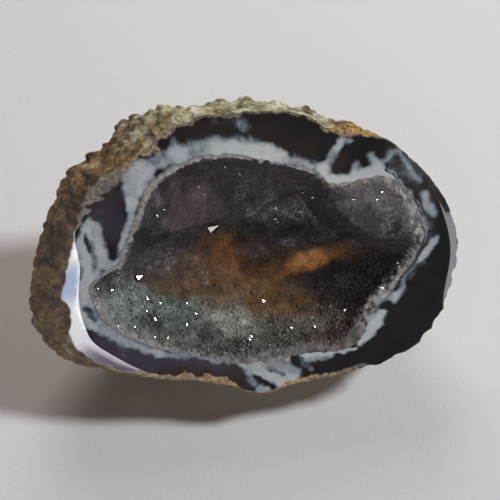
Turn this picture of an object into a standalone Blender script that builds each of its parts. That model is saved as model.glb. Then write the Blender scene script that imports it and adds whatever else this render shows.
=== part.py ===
"""A druzy agate: half of a hollow agate nodule, sawn across, polished, and lying on its rounded back.

It is two pieces, the stone with its weathered rind and the crust of quartz crystals that lines its hollow.
Both are modelled in the frame of the polished face, in millimetres: x to the right, y up the face and z out
of it. One empty then tips that frame to the way the stone lies, with a worn flat of its back on the ground.
"""

import math
import random

import bmesh
import bpy
from mathutils import Matrix, Vector, noise

MM = 0.001
GOLDEN_TURN = math.pi * (3 - math.sqrt(5))

# How the stone lies. The face's normal stands this far above the horizon, and is turned this far to the right.
FACE_RISE = math.radians(43)
FACE_TURN = math.radians(8)
FACE_MIDDLE = Vector((0.1, -2.8, 25.0))  # the origin of the face's frame, in mm from the part's origin

# The edge of the polished face, counter-clockwise from the right, in mm.
FACE_EDGE = [
    (32.0, -2.8), (31.7, 1.4), (30.2, 5.6), (27.4, 9.8), (24.2, 12.8), (20.5, 15.5), (15.6, 16.6),
    (11.8, 17.3), (9.6, 18.6), (6.0, 19.8), (0.4, 19.9), (-6.7, 19.0), (-11.8, 17.5), (-15.0, 14.5),
    (-19.2, 11.5), (-23.0, 8.3), (-25.0, 2.5), (-26.4, -3.0), (-27.1, -8.0), (-26.3, -12.5), (-24.3, -16.2),
    (-19.2, -18.9), (-12.6, -20.3), (-5.5, -20.9), (0.0, -22.4), (4.0, -22.8), (8.6, -21.5), (14.5, -20.5),
    (20.6, -19.0), (24.6, -16.9), (27.6, -14.7), (30.0, -11.8), (30.8, -8.2),
]

# Where the hollow opens in the face, inside its crust, counter-clockwise from the right, in mm.
HOLLOW_RIM = [
    (25.5, 0.8), (24.9, 4.0), (22.8, 7.6), (20.2, 9.1), (17.0, 9.0), (14.2, 8.2), (12.2, 8.7), (10.2, 10.2),
    (5.9, 11.5), (-1.0, 12.7), (-6.0, 12.5), (-10.4, 10.8), (-13.4, 8.4), (-14.8, 5.0), (-16.9, 0.0),
    (-18.0, -2.6), (-21.2, -4.7), (-22.2, -7.3), (-20.8, -11.7), (-17.5, -14.0), (-12.5, -15.8),
    (-6.0, -17.0), (0.5, -17.2), (5.0, -16.3), (9.9, -15.6), (14.0, -15.6), (16.6, -13.8), (17.9, -10.5),
    (20.7, -7.0), (23.7, -2.8),
]
HOLLOW_AXIS = Vector((2.0, -3.0))  # every point of the rim is in plain sight from here

# The nodule behind the face.
NODULE_DEPTH = 25.0
NODULE_POLE = Vector((0.5, -8.0))  # the deepest point lies behind the lower half of the face
SAW_SLACK = 1e-7  # in metres: a point this near to a saw cut's plane counts as on it
BULGE_DIP = math.radians(22)  # how far round from the edge the rind stands out most
# How far the rind stands out past the face there, in mm, by the angle round the face in degrees.
RIND_BULGE = [(0, 0.0), (50, 0.3), (75, 1.0), (95, 1.1), (110, 1.6), (122, 3.6), (134, 4.9), (147, 4.1),
              (165, 4.6), (180, 6.2), (195, 6.5), (210, 4.9), (222, 2.7), (235, 1.3), (255, 0.8), (280, 0.0)]
# How quickly the back draws in from the edge: 1 is an ellipse, and more is leaner.
NODULE_LEAN = [(0, 0.9), (90, 0.8), (180, 0.95), (225, 1.1), (270, 1.6), (315, 1.2)]

# The hollow inside the crust.
HOLLOW_DEPTH = 15.5
HOLLOW_POLE = Vector((2.5, 1.0))
# How gently the hollow's wall falls away from the rim: 1 drops straight in, and 2 is a slope.
WALL_SLOPE = [(0, 1.2), (20, 1.5), (38, 1.7), (50, 1.2), (90, 1.05), (140, 1.1), (180, 1.2), (215, 1.8),
              (250, 1.9), (290, 1.9), (315, 2.2), (340, 1.6)]
# A shelf in the hollow's upper right, an oval that lies only a little below the face.
SHELF_MIDDLE = Vector((19.6, 5.2))
SHELF_TURN = math.radians(-25)
SHELF_SIZE = (6.0, 3.9)  # its half length and half width
SHELF_DEPTH = 1.7
SHELF_LIP = 0.8  # how far past its edge the shelf goes on falling, as a share of its size
SHELF_INSET = 1.4  # how far the shelf of an outer form draws in for each mm of wall

# The crust of quartz and its crystals.
CRUST_WALL = 1.4
CRUST_GAP = 0.35  # kept between the crust and the stone
CRYSTAL_HEIGHT = (0.35, 1.1)
CRYSTAL_LEAN = 0.28  # how far a tip strays sideways
CRYSTAL_SEED = 7
CUTTER_RISE = 4.0  # how far a cutter stands out of the face

# The rind's relief.
SWELL_SIZE, SWELL_HEIGHT = 9.0, 0.8
LUMP_SIZE, LUMP_HEIGHT = 4.2, 1.0
PIT_SIZE, PIT_DEPTH = 1.9, 0.9
PIT_LEVEL = 0.25  # a lower level gives more and wider pits
EDGE_FADE = math.radians(9)  # the relief fades in over this much of the back, next to the face

# How many points each faceted skin has inside its rim, and how many round the rim.
RIND_POINTS = (1600, 120)
WALL_POINTS = (320, 72)
CRYSTAL_POINTS = (640, 96)
CURVE_STEPS = 6  # points to each span of a rounded outline


def rounded(points):
    """A closed outline with a smooth curve through its points."""
    curve = []
    for index, start in enumerate(points):
        before = Vector(points[index - 1])
        start = Vector(start)
        end = Vector(points[(index + 1) % len(points)])
        after = Vector(points[(index + 2) % len(points)])
        for step in range(CURVE_STEPS):
            share = step / CURVE_STEPS
            curve.append(
                start
                + (end - before) * share / 2
                + (before * 2 - start * 5 + end * 4 - after) * share**2 / 2
                + (start * 3 - before - end * 3 + after) * share**3 / 2
            )
    return curve


def polar(points, axis):
    """The outline as sorted pairs of angle and distance round the axis, running a little over one turn."""
    arms = [point - axis for point in points]
    ring = sorted((math.atan2(arm.y, arm.x) % math.tau, arm.length) for arm in arms)
    first, last = ring[0], ring[-1]
    return [(last[0] - math.tau, last[1]), *ring, (first[0] + math.tau, first[1])]


FACE_RING = polar(rounded(FACE_EDGE), Vector((0, 0)))
RIM_RING = polar(rounded(HOLLOW_RIM), HOLLOW_AXIS)


def reach(ring, angle):
    """How far the outline lies from its axis in this direction."""
    angle %= math.tau
    for (low, near), (high, far) in zip(ring, ring[1:]):
        if low <= angle <= high:
            return near + (far - near) * (angle - low) / (high - low)
    raise ValueError("the outline doesn't go all the way round")


def by_angle(table, angle):
    """The value at this angle, in radians, from a table of degrees and values that runs once round."""
    degrees = math.degrees(angle) % 360
    ring = table + [(table[0][0] + 360, table[0][1])]
    for (low, first), (high, last) in zip(ring, ring[1:]):
        if low <= degrees <= high:
            share = (degrees - low) / (high - low)
            return first + (last - first) * share * share * (3 - 2 * share)
    raise ValueError("the table doesn't start at 0")


def around(direction):
    """A direction as the angle round the face's normal, and the dip below the face."""
    return math.atan2(direction.y, direction.x), math.asin(max(0.0, min(1.0, -direction.z)))


def rind_relief(place):
    """The height of the rind's swells, and of the round lumps and pits in them, at a place in mm."""
    swell = noise.noise(place / SWELL_SIZE) * SWELL_HEIGHT
    distance = noise.voronoi(place / LUMP_SIZE)[0][0]
    pit = max(0.0, noise.noise(place / PIT_SIZE) - PIT_LEVEL) * PIT_DEPTH
    return swell + (0.5 - distance) * LUMP_HEIGHT - pit


def nodule_surface(direction):
    """A point of the nodule's outside, in mm."""
    angle, dip = around(direction)
    level = math.cos(dip)
    share = dip / BULGE_DIP
    bulge = by_angle(RIND_BULGE, angle) * share * math.exp(1 - share) * level
    span = reach(FACE_RING, angle) * level ** by_angle(NODULE_LEAN, angle) + bulge
    middle = NODULE_POLE * math.sin(dip) ** 2
    place = Vector((
        middle.x + span * math.cos(angle),
        middle.y + span * math.sin(angle),
        -NODULE_DEPTH * math.sin(dip),
    ))
    return place + direction * rind_relief(place) * min(1.0, dip / EDGE_FADE)


def past_shelf(place, wall):
    """How far a place in the plane of the face is off the shelf, from 0 on it to 1 past its lip."""
    arm = Matrix.Rotation(-SHELF_TURN, 2) @ (place - SHELF_MIDDLE)
    half_length, half_width = SHELF_SIZE
    inset = wall * SHELF_INSET
    off = math.hypot(arm.x / (half_length - inset), arm.y / (half_width - inset)) - 1
    share = max(0.0, min(1.0, off / SHELF_LIP))
    return share * share * (3 - 2 * share)


def hollow_surface(direction, wall=0.0):
    """A point of the hollow's inside, or of a form that lies outside it by the thickness of a wall, in mm."""
    angle, dip = around(direction)
    span = (reach(RIM_RING, angle) + wall) * math.cos(dip)
    middle = HOLLOW_AXIS.lerp(HOLLOW_POLE, math.sin(dip) ** 2)
    place = middle + Vector((math.cos(angle), math.sin(angle))) * span
    depth = (HOLLOW_DEPTH + wall) * math.sin(dip) ** by_angle(WALL_SLOPE, angle)
    raised = min(depth, SHELF_DEPTH + wall)
    depth = raised + (depth - raised) * past_shelf(place, wall)
    return Vector((place.x, place.y, -depth))


def skin(points, rim_points, surface):
    """A triangulated bowl with an open rim: half a ball's points, each moved to where a surface lies."""
    shape = bmesh.new()
    for index in range(rim_points):
        angle = math.tau * index / rim_points
        shape.verts.new((math.cos(angle), math.sin(angle), 0))
    shallowest = math.pi / rim_points
    for index in range(points):
        height = shallowest + (1 - shallowest) * (index + 0.5) / points
        level = math.sqrt(1 - height * height)
        angle = GOLDEN_TURN * index
        shape.verts.new((level * math.cos(angle), level * math.sin(angle), -height))
    bmesh.ops.convex_hull(shape, input=shape.verts[:])
    lid = [face for face in shape.faces if all(vert.co.z > -shallowest / 2 for vert in face.verts)]
    bmesh.ops.delete(shape, geom=lid, context="FACES")
    for vert in shape.verts:
        vert.co = surface(vert.co.normalized()) * MM
    shape.normal_update()
    return shape


def close_top(shape, rise=0.0):
    """Closes an open rim with one flat face, level with the rim or standing this far above it, in mm."""
    rim = [edge for edge in shape.edges if edge.is_boundary]
    if rise:
        wall = bmesh.ops.extrude_edge_only(shape, edges=rim)["geom"]
        top = [item for item in wall if isinstance(item, bmesh.types.BMVert)]
        bmesh.ops.translate(shape, verts=top, vec=(0, 0, rise * MM))
        rim = [edge for edge in shape.edges if edge.is_boundary]
    bmesh.ops.contextual_create(shape, geom=rim)
    bmesh.ops.recalc_face_normals(shape, faces=shape.faces[:])
    return shape


def grow_crystals(shape):
    """Turns a wall of triangles into six-sided points: each inner vertex becomes a tip with a valley round it."""
    tips = [vert for vert in shape.verts if not vert.is_boundary]
    between = [edge for edge in shape.edges if not edge.is_boundary]
    bmesh.ops.poke(shape, faces=shape.faces[:])
    bmesh.ops.rotate_edges(shape, edges=between)
    shape.normal_update()
    draw = random.Random(CRYSTAL_SEED)
    moves = []
    for tip in tips:
        stray = Vector([draw.uniform(-1, 1) for _ in range(3)]) * CRYSTAL_LEAN
        moves.append((stray - tip.normal * draw.uniform(*CRYSTAL_HEIGHT)) * MM)
    for tip, move in zip(tips, moves):
        tip.co += move
    return shape


def saw(shape, point, normal):
    """Cuts away what lies beyond a plane, and leaves the cut flat and closed."""
    geometry = shape.verts[:] + shape.edges[:] + shape.faces[:]
    cut = bmesh.ops.bisect_plane(
        shape, geom=geometry, dist=SAW_SLACK, plane_co=point, plane_no=normal, clear_outer=True)
    edges = [item for item in cut["geom_cut"] if isinstance(item, bmesh.types.BMEdge)]
    bmesh.ops.contextual_create(shape, geom=edges)


def add_object(name, shape, collection):
    """Puts a shape in a collection as one named object."""
    mesh = bpy.data.meshes.new(name)
    shape.to_mesh(mesh)
    shape.free()
    made = bpy.data.objects.new(name, mesh)
    collection.objects.link(made)
    return made


def finish_stone(made, material_name, colour, roughness):
    """Gives an object a stone's plain finish."""
    material = bpy.data.materials.new(material_name)
    material.use_nodes = True
    shader = material.node_tree.nodes["Principled BSDF"]
    shader.inputs["Base Color"].default_value = (*colour, 1.0)
    shader.inputs["Roughness"].default_value = roughness
    shader.inputs["Metallic"].default_value = 0.0
    made.data.materials.append(material)


def carve(body, cutter):
    """Takes the cutter's form out of the body, and keeps the cutter out of the finished part."""
    cutter.hide_render = True
    cutter.display_type = "WIRE"
    boolean = body.modifiers.new("carve_" + cutter.name, "BOOLEAN")
    boolean.operation = "DIFFERENCE"
    boolean.solver = "EXACT"
    boolean.object = cutter


def face_frame():
    """The matrix from the face's frame to the part's, with the face's x axis as level as it can be."""
    normal = Vector((
        math.sin(FACE_TURN) * math.cos(FACE_RISE),
        -math.cos(FACE_TURN) * math.cos(FACE_RISE),
        math.sin(FACE_RISE),
    ))
    right = (Vector((1, 0, 0)) - normal * normal.x).normalized()
    up = normal.cross(right)
    turned = Matrix((right, up, normal)).transposed().to_4x4()
    return Matrix.Translation(FACE_MIDDLE * MM) @ turned


def make_nodule(collection, cutters):
    """The stone: a rounded nodule, sawn flat at the face and worn flat where it rests, with its hollow."""
    shape = close_top(skin(*RIND_POINTS, nodule_surface))
    to_face = face_frame().inverted()
    saw(shape, to_face @ Vector((0, 0, 0)), to_face.to_3x3() @ Vector((0, 0, -1)))
    nodule = add_object("agate_nodule", shape, collection)
    finish_stone(nodule, "agate", (0.09, 0.08, 0.08), 0.35)
    bed = skin(*WALL_POINTS, lambda direction: hollow_surface(direction, CRUST_WALL))
    carve(nodule, add_object("bed_cutter", close_top(bed, CUTTER_RISE), cutters))


def make_crust(collection, cutters):
    """The crust: a layer of quartz flush with the face, with points standing on all of its inner side."""
    layer = skin(*WALL_POINTS, lambda direction: hollow_surface(direction, CRUST_WALL - CRUST_GAP))
    crust = add_object("druzy_crust", close_top(layer), collection)
    finish_stone(crust, "druzy_quartz", (0.22, 0.21, 0.2), 0.2)
    void = grow_crystals(skin(*CRYSTAL_POINTS, hollow_surface))
    carve(crust, add_object("void_cutter", close_top(void, CUTTER_RISE), cutters))


def main():
    for old in list(bpy.data.objects):
        bpy.data.objects.remove(old)
    part = bpy.data.collections.new("druzy_agate")
    cutters = bpy.data.collections.new("cutters")
    for collection in (part, cutters):
        bpy.context.scene.collection.children.link(collection)
    make_nodule(part, cutters)
    make_crust(part, cutters)
    lie = bpy.data.objects.new("lie_of_the_stone", None)
    lie.matrix_world = face_frame()
    for made in part.objects[:] + cutters.objects[:]:
        made.parent = lie
    part.objects.link(lie)


main()
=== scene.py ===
"""The looks of a druzy agate: half of a hollow agate nodule, sawn across, polished and lying on its back."""

import math

import bpy
import numpy as np
from mathutils import Matrix, Vector, geometry, noise


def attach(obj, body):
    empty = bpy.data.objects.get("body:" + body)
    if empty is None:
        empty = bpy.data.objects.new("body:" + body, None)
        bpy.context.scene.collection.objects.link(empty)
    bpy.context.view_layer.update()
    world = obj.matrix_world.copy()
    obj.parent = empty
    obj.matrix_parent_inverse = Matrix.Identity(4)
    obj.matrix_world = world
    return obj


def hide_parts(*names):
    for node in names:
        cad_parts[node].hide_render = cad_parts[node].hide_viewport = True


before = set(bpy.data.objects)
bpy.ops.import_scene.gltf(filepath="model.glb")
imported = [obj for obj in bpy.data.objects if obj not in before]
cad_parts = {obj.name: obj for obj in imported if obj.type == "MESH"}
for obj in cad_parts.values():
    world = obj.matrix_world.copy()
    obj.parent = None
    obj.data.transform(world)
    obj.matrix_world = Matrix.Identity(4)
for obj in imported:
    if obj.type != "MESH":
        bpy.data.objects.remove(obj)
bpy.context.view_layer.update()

# The stone: half of an agate nodule, near-black, with blue-white chalcedony round its hollow. It has a rough
# brown rind, and its sawn face is ground and polished like glass, with a margin that the wheel has rounded
# over. It lies on a worn flat of its back, tipped towards the front.

# It is modelled in the frame of the face, in mm: x to the right, y up the face and z out of it.
MM = 0.001
FACE_RISE = math.radians(43)
FACE_TURN = math.radians(8)
FACE_MIDDLE = np.array([0.1, -2.8, 25.0])
face_out = np.array([
    math.sin(FACE_TURN) * math.cos(FACE_RISE),
    -math.cos(FACE_TURN) * math.cos(FACE_RISE),
    math.sin(FACE_RISE),
])
face_right = np.array([1.0, 0.0, 0.0]) - face_out * face_out[0]
face_right /= np.linalg.norm(face_right)
face_axes = np.array([face_right, np.cross(face_out, face_right), face_out])

# The face's outline, and the outline, middle and crust thickness of the hollow in it.
FACE_EDGE = [
    (32.0, -2.8), (31.7, 1.4), (30.2, 5.6), (27.4, 9.8), (24.2, 12.8), (20.5, 15.5), (15.6, 16.6),
    (11.8, 17.3), (9.6, 18.6), (6.0, 19.8), (0.4, 19.9), (-6.7, 19.0), (-11.8, 17.5), (-15.0, 14.5),
    (-19.2, 11.5), (-23.0, 8.3), (-25.0, 2.5), (-26.4, -3.0), (-27.1, -8.0), (-26.3, -12.5), (-24.3, -16.2),
    (-19.2, -18.9), (-12.6, -20.3), (-5.5, -20.9), (0.0, -22.4), (4.0, -22.8), (8.6, -21.5), (14.5, -20.5),
    (20.6, -19.0), (24.6, -16.9), (27.6, -14.7), (30.0, -11.8), (30.8, -8.2),
]
HOLLOW_RIM = [
    (25.5, 0.8), (24.9, 4.0), (22.8, 7.6), (20.2, 9.1), (17.0, 9.0), (14.2, 8.2), (12.2, 8.7), (10.2, 10.2),
    (5.9, 11.5), (-1.0, 12.7), (-6.0, 12.5), (-10.4, 10.8), (-13.4, 8.4), (-14.8, 5.0), (-16.9, 0.0),
    (-18.0, -2.6), (-21.2, -4.7), (-22.0, -7.1), (-20.1, -11.0), (-17.0, -13.5), (-12.5, -15.4),
    (-6.0, -16.8), (0.5, -17.2), (5.0, -16.3), (9.9, -15.6), (14.0, -15.6), (16.6, -13.8), (17.9, -10.5),
    (20.7, -7.0), (23.7, -2.8),
]
HOLLOW_AXIS = np.array([2.0, -3.0])
CRUST_WALL = 1.4

# The nodule behind the face. Its rind bulges out past the face's edge, by the angle and in mm, and most at a
# dip of 22 degrees. Its side leans in, by the angle too: 1 is a ball's, and more leans in sooner.
NODULE_DEPTH = 25.0
NODULE_POLE = np.array([0.5, -8.0])
BULGE_DIP = math.radians(22)
RIND_BULGE = [(0, 0.0), (36, 0.1), (43, 1.0), (50, 1.9), (60, 1.6), (75, 1.1), (95, 1.1), (110, 1.6),
              (122, 3.6), (134, 4.9), (147, 4.1), (165, 4.6), (180, 6.2), (195, 6.5), (210, 4.9), (222, 2.7),
              (235, 1.3), (255, 0.8), (280, 0.0)]
NODULE_LEAN = [(0, 0.9), (90, 0.8), (180, 0.95), (225, 1.1), (270, 1.6), (315, 1.2)]

# The relief of the rind, in mm: swells, round lumps and wide pits, and over them grains, beads and holes.
# Pits and holes open where soft noise is over their level. The relief fades in below the face's edge.
SWELL_SIZE, SWELL_HEIGHT = 9.0, 0.8
LUMP_SIZE, LUMP_HEIGHT = 4.2, 1.2
PIT_SIZE, PIT_DEPTH, PIT_LEVEL = 1.9, 1.2, 0.22
GRAIN_SIZE, GRAIN_HEIGHT = 1.7, 1.0
BEAD_SIZE, BEAD_HEIGHT = 0.9, 0.4
HOLE_SIZE, HOLE_DEPTH, HOLE_LEVEL = 0.8, 0.7, 0.34
EDGE_FADE = math.radians(7)

# The margin that polishing has rounded over, by the angle round the face: its width in mm, its tilt in
# degrees, and over how many mm it bends to that tilt. It fades out down the rind.
MARGIN_WIDTH = [(0, 1.6), (16, 1.5), (30, 0.7), (60, 0.4), (150, 0.3), (175, 0.3), (188, 2.8), (200, 3.0),
                (206, 3.3), (218, 3.6), (230, 2.5), (245, 0.6), (300, 0.4), (338, 0.8), (350, 1.5)]
MARGIN_TILT = [(0, 20), (90, 16), (180, 15), (230, 14), (300, 18)]
MARGIN_EASE = [(0, 0.5), (195, 0.6), (212, 2.0), (230, 2.0), (245, 0.6)]
MARGIN_FADE = math.radians(14)
# How deeply the face's edge is chipped, in mm by the angle. Each chip has a share of that depth, and a half
# width that grows with it.
EDGE_CHIPS = [(0, 0.2), (40, 0.25), (90, 0.5), (130, 0.7), (165, 0.4), (195, 0.5), (201, 1.3), (207, 1.3),
              (214, 0.5), (240, 0.3), (290, 0.4), (306, 0.3), (314, 0.7), (325, 0.9), (335, 1.1), (348, 0.6)]
CHIPS = 170
CHIP_SEED = 5
CHIP_SHARE = (0.25, 1.0)
CHIP_HALF, CHIP_WIDENING = 0.5, 1.3
CHIP_VARIETY = (0.7, 1.3)
CHIP_FADE = math.radians(7)
# Round knobs that stand out of the rind. Each has its angle and its dip in degrees, and its radius and height
# in mm. The rust-brown colour of a knob comes in over its lowest 0.4 mm.
KNOB_TINT = 2.5
KNOBS = [
    (149, 11, 1.2, 1.1), (143, 15, 0.8, 0.6), (135, 17, 1.2, 1.1), (130, 20, 1.0, 0.9), (88, 10, 1.3, 0.3),
    (99, 12, 1.1, 0.6), (115, 16, 1.0, 0.5), (157, 18, 0.9, 0.5), (168, 30, 1.3, 0.7), (182, 26, 1.1, 0.5),
    (196, 34, 1.2, 0.6), (208, 22, 0.9, 0.5),
]

# How fine the mesh is: points round the face, one every 0.17 mm, points over the rind, and rings of points
# across the face and down the bed of the crust.
RING = 900
RIND_POINTS = 60000
FACE_ROWS = 34
BED_ROWS = 6
GOLDEN_TURN = math.pi * (3 - math.sqrt(5))


def rounded(points, steps=6):
    """A closed outline with a smooth curve through its points."""
    start = np.array(points)
    before = np.roll(start, 1, axis=0)[:, None]
    end = np.roll(start, -1, axis=0)[:, None]
    after = np.roll(start, -2, axis=0)[:, None]
    start = start[:, None]
    share = (np.arange(steps) / steps)[None, :, None]
    curve = start + (end - before) * share / 2
    curve = curve + (before * 2 - start * 5 + end * 4 - after) * share**2 / 2
    curve = curve + (start * 3 - before - end * 3 + after) * share**3 / 2
    return curve.reshape(-1, 2)


def polar(outline, axis):
    """The outline as angles and distances round the axis, in order."""
    arms = outline - axis
    angles = np.arctan2(arms[:, 1], arms[:, 0]) % math.tau
    order = np.argsort(angles)
    return angles[order], np.hypot(*arms.T)[order]


def reach(ring, angle):
    """How far the outline lies from its axis in each direction."""
    return np.interp(angle, *ring, period=math.tau)


def by_angle(table, angle):
    """The value at each angle from a table of degrees and values that runs once round."""
    degrees = np.degrees(angle) % 360
    marks = np.array([mark for mark, _ in table] + [table[0][0] + 360.0])
    values = np.array([value for _, value in table] + [table[0][1]])
    low = np.searchsorted(marks, degrees, side="right") - 1
    share = (degrees - marks[low]) / (marks[low + 1] - marks[low])
    return values[low] + (values[low + 1] - values[low]) * share * share * (3 - 2 * share)


BEND_SPREAD = range(-4, 5)  # the degrees over which by_angle_straight softens a bend


def by_angle_straight(table, angle):
    """As by_angle, but with straight runs between the table's values and soft bends where they meet."""
    marks, values = np.array(table).T
    runs = [np.interp(np.degrees(angle) + shift, marks, values, period=360) for shift in BEND_SPREAD]
    return sum(runs) / len(runs)


def smooth_noise(places, size):
    """Soft noise from -1 to 1 at places in mm, with features of this size."""
    return np.array([noise.noise(place) for place in (places / size).tolist()])


def cells(places, size):
    """The distance to the nearest of the points scattered in mm, as a share of their spacing."""
    return np.array([noise.voronoi(place)[0][0] for place in (places / size).tolist()])


face_ring = polar(rounded(FACE_EDGE), np.zeros(2))
rim_ring = polar(rounded(HOLLOW_RIM), HOLLOW_AXIS)


def margin_drop(angle, inward=0.0):
    """How far the rounded margin has dropped at this distance in from the face's edge, in mm."""
    run = np.maximum(by_angle_straight(MARGIN_WIDTH, angle) - inward, 0)
    full = by_angle(MARGIN_EASE, angle)
    ease = np.minimum(full, run)
    tilt = np.radians(by_angle(MARGIN_TILT, angle))
    return np.tan(tilt) * (ease**2 / (2 * full) + run - ease)


def half_ball(inner, rim):
    """Directions spread evenly over the lower half of a ball, rim first, and the triangles that join them."""
    turn = math.tau * np.arange(rim) / rim
    shallowest = math.pi / rim
    height = shallowest + (1 - shallowest) * (np.arange(inner) + 0.5) / inner
    level = np.sqrt(1 - height**2)
    spiral = GOLDEN_TURN * np.arange(inner)
    directions = np.concatenate([
        np.stack([np.cos(turn), np.sin(turn), np.zeros(rim)], axis=1),
        np.stack([level * np.cos(spiral), level * np.sin(spiral), -height], axis=1),
    ])
    # Seen from the ball's top, the flat picture of the directions keeps which ones are neighbours.
    flat = directions[:, :2] / (1 - directions[:, 2:])
    triangles = geometry.delaunay_2d_cdt([Vector(place) for place in flat.tolist()], [], [], 0, 1e-9)[2]
    return directions, np.array(triangles)[:, ::-1]


def chip_bites(angle):
    """How far in the chips of the edge reach at each angle, in mm. A chip is a scallop with sharp ends."""
    draw = np.random.default_rng(CHIP_SEED)
    bite = np.zeros(len(angle))
    for middle in draw.uniform(0, math.tau, CHIPS):
        depth = by_angle(EDGE_CHIPS, np.array([middle]))[0] * draw.uniform(*CHIP_SHARE)
        half = (CHIP_HALF + CHIP_WIDENING * depth) * draw.uniform(*CHIP_VARIETY)
        along = ((angle - middle + math.pi) % math.tau - math.pi) * reach(face_ring, middle)
        bite = np.maximum(bite, depth * (1 - (along / half) ** 2))
    return bite


def raise_knobs(directions, places):
    """How high the knobs lift each point of the rind, in mm."""
    lift = np.zeros(len(places))
    for angle, dip, radius, height in KNOBS:
        level = math.cos(math.radians(dip))
        middle = np.array([
            level * math.cos(math.radians(angle)),
            level * math.sin(math.radians(angle)),
            -math.sin(math.radians(dip)),
        ])
        middle = places[np.argmax(directions @ middle)]
        share = np.linalg.norm(places - middle, axis=1) / radius
        lift = np.maximum(lift, height * np.sqrt(np.clip(1 - share**2, 0, 1)))
    return lift


def nodule_surface(directions):
    """The nodule's outside in mm, how deep each point lies in a crease or pit, for the painted shade there,
    and how far up a knob.
    """
    angle = np.arctan2(directions[:, 1], directions[:, 0])
    dip = np.arcsin(np.clip(-directions[:, 2], 0, 1))
    level = np.cos(dip)
    share = dip / BULGE_DIP
    bulge = by_angle(RIND_BULGE, angle) * share * np.exp(1 - share) * level
    edge = reach(face_ring, angle)
    around = np.stack([np.cos(angle), np.sin(angle), np.zeros(len(angle))], axis=1)
    bite = chip_bites(angle) * np.exp(-dip / CHIP_FADE)
    span = (edge - bite) * level ** by_angle(NODULE_LEAN, angle) + bulge
    places = around * span[:, None]
    places[:, :2] += NODULE_POLE * (np.sin(dip) ** 2)[:, None]
    drop = margin_drop(angle, bite) * np.exp(-((dip / MARGIN_FADE) ** 2))
    places[:, 2] = -NODULE_DEPTH * np.sin(dip) - drop
    # What is taken away from each kind of lump centres it on the surface.
    swell = smooth_noise(places, SWELL_SIZE) * SWELL_HEIGHT
    lump = (0.5 - cells(places, LUMP_SIZE)) * LUMP_HEIGHT
    pit = np.maximum(smooth_noise(places, PIT_SIZE) - PIT_LEVEL, 0) * PIT_DEPTH
    grains = (0.35 - cells(places + 40, GRAIN_SIZE) ** 2) * GRAIN_HEIGHT
    beads = (0.3 - cells(places + 70, BEAD_SIZE) ** 2) * BEAD_HEIGHT
    holes = np.maximum(smooth_noise(places + 20, HOLE_SIZE) - HOLE_LEVEL, 0) * HOLE_DEPTH
    knobs = raise_knobs(directions, places)
    relief = (swell + lump - pit + grains + beads - holes) * np.minimum(dip / EDGE_FADE, 1) + knobs
    # Painted shade: the rind is darkened most in the small holes and between the beads and grains, and a
    # little in the pits.
    crevice_shade = pit * 0.3 + holes * 1.2 - grains * 0.7 - beads * 1.2
    return places + directions * relief[:, None], crevice_shade, np.minimum(knobs * KNOB_TINT, 1)


def hollow_rim(angle, wall):
    """The hollow's outline in the plane of the face, with a wall of this thickness added to it."""
    span = reach(rim_ring, angle) + wall
    across = HOLLOW_AXIS[0] + span * np.cos(angle)
    up = HOLLOW_AXIS[1] + span * np.sin(angle)
    return np.stack([across, up, np.zeros(len(angle))], axis=1)


# The hollow's depth, its deepest place, and how steep its wall is by the angle: 1 is a ball's, and more is
# flatter next to the rim.
HOLLOW_DEPTH = 15.5
HOLLOW_POLE = np.array([2.5, 1.0])
WALL_SLOPE = [(0, 1.2), (20, 1.5), (38, 1.7), (50, 1.2), (90, 1.05), (140, 1.1), (180, 1.2), (215, 1.8),
              (250, 1.9), (290, 1.9), (315, 2.2), (340, 1.6)]
# A shelf in the hollow's upper right: an oval that lies only a little below the face. Over its lip, which is
# a share of its radii wide, the hollow falls away. For each mm of a wall, its radii are smaller by the inset.
SHELF_MIDDLE = np.array([19.6, 5.2])
SHELF_TURN = math.radians(-25)
SHELF_SIZE = (6.0, 3.9)
SHELF_DEPTH = 1.7
SHELF_LIP = 0.8
SHELF_INSET = 1.4


def past_shelf(places, wall):
    """How far each place in the plane of the face is off the shelf, from 0 on it to 1 past its lip."""
    arms = places - SHELF_MIDDLE
    along = arms @ (math.cos(SHELF_TURN), math.sin(SHELF_TURN)) / (SHELF_SIZE[0] - wall * SHELF_INSET)
    across = arms @ (-math.sin(SHELF_TURN), math.cos(SHELF_TURN)) / (SHELF_SIZE[1] - wall * SHELF_INSET)
    share = np.clip((np.hypot(along, across) - 1) / SHELF_LIP, 0, 1)
    return share * share * (3 - 2 * share)


def hollow_surface(directions, wall=0.0):
    """The hollow's inside in mm, or a form that lies outside it by the thickness of a wall."""
    angle = np.arctan2(directions[:, 1], directions[:, 0])
    dip = np.arcsin(np.clip(-directions[:, 2], 0, 1))
    span = (reach(rim_ring, angle) + wall) * np.cos(dip)
    middle = HOLLOW_AXIS + (HOLLOW_POLE - HOLLOW_AXIS) * (np.sin(dip) ** 2)[:, None]
    places = middle + np.stack([np.cos(angle), np.sin(angle)], axis=1) * span[:, None]
    depth = (HOLLOW_DEPTH + wall) * np.sin(dip) ** by_angle(WALL_SLOPE, angle)
    raised = np.minimum(depth, SHELF_DEPTH + wall)
    depth = raised + (depth - raised) * past_shelf(places, wall)
    return np.column_stack([places, -depth])


def bowl_rows(rows, wall):
    """Rings of points from the pole of the bowl up to just under its rim, and the pole itself."""
    dips = np.linspace(math.pi / 2, 0, rows + 1)[1:-1]
    turn = math.tau * np.arange(RING) / RING
    rings = []
    for dip in dips:
        level = math.cos(dip)
        fall = np.full(RING, -math.sin(dip))
        directions = np.stack([level * np.cos(turn), level * np.sin(turn), fall], axis=1)
        rings.append(hollow_surface(directions, wall))
    return rings, hollow_surface(np.array([[0.0, 0.0, -1.0]]), wall)


def band_faces(inner, outer):
    """The quads between two rings of points, given by the index of each ring's points, facing up."""
    return np.stack([inner, outer, np.roll(outer, -1), np.roll(inner, -1)], axis=1)


def to_row(places):
    """Places in the face's frame in mm as places in the part's frame in metres, none below the ground."""
    row = (FACE_MIDDLE + places @ face_axes) * MM
    row[:, 2] = np.maximum(row[:, 2], 0)
    return row


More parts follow.
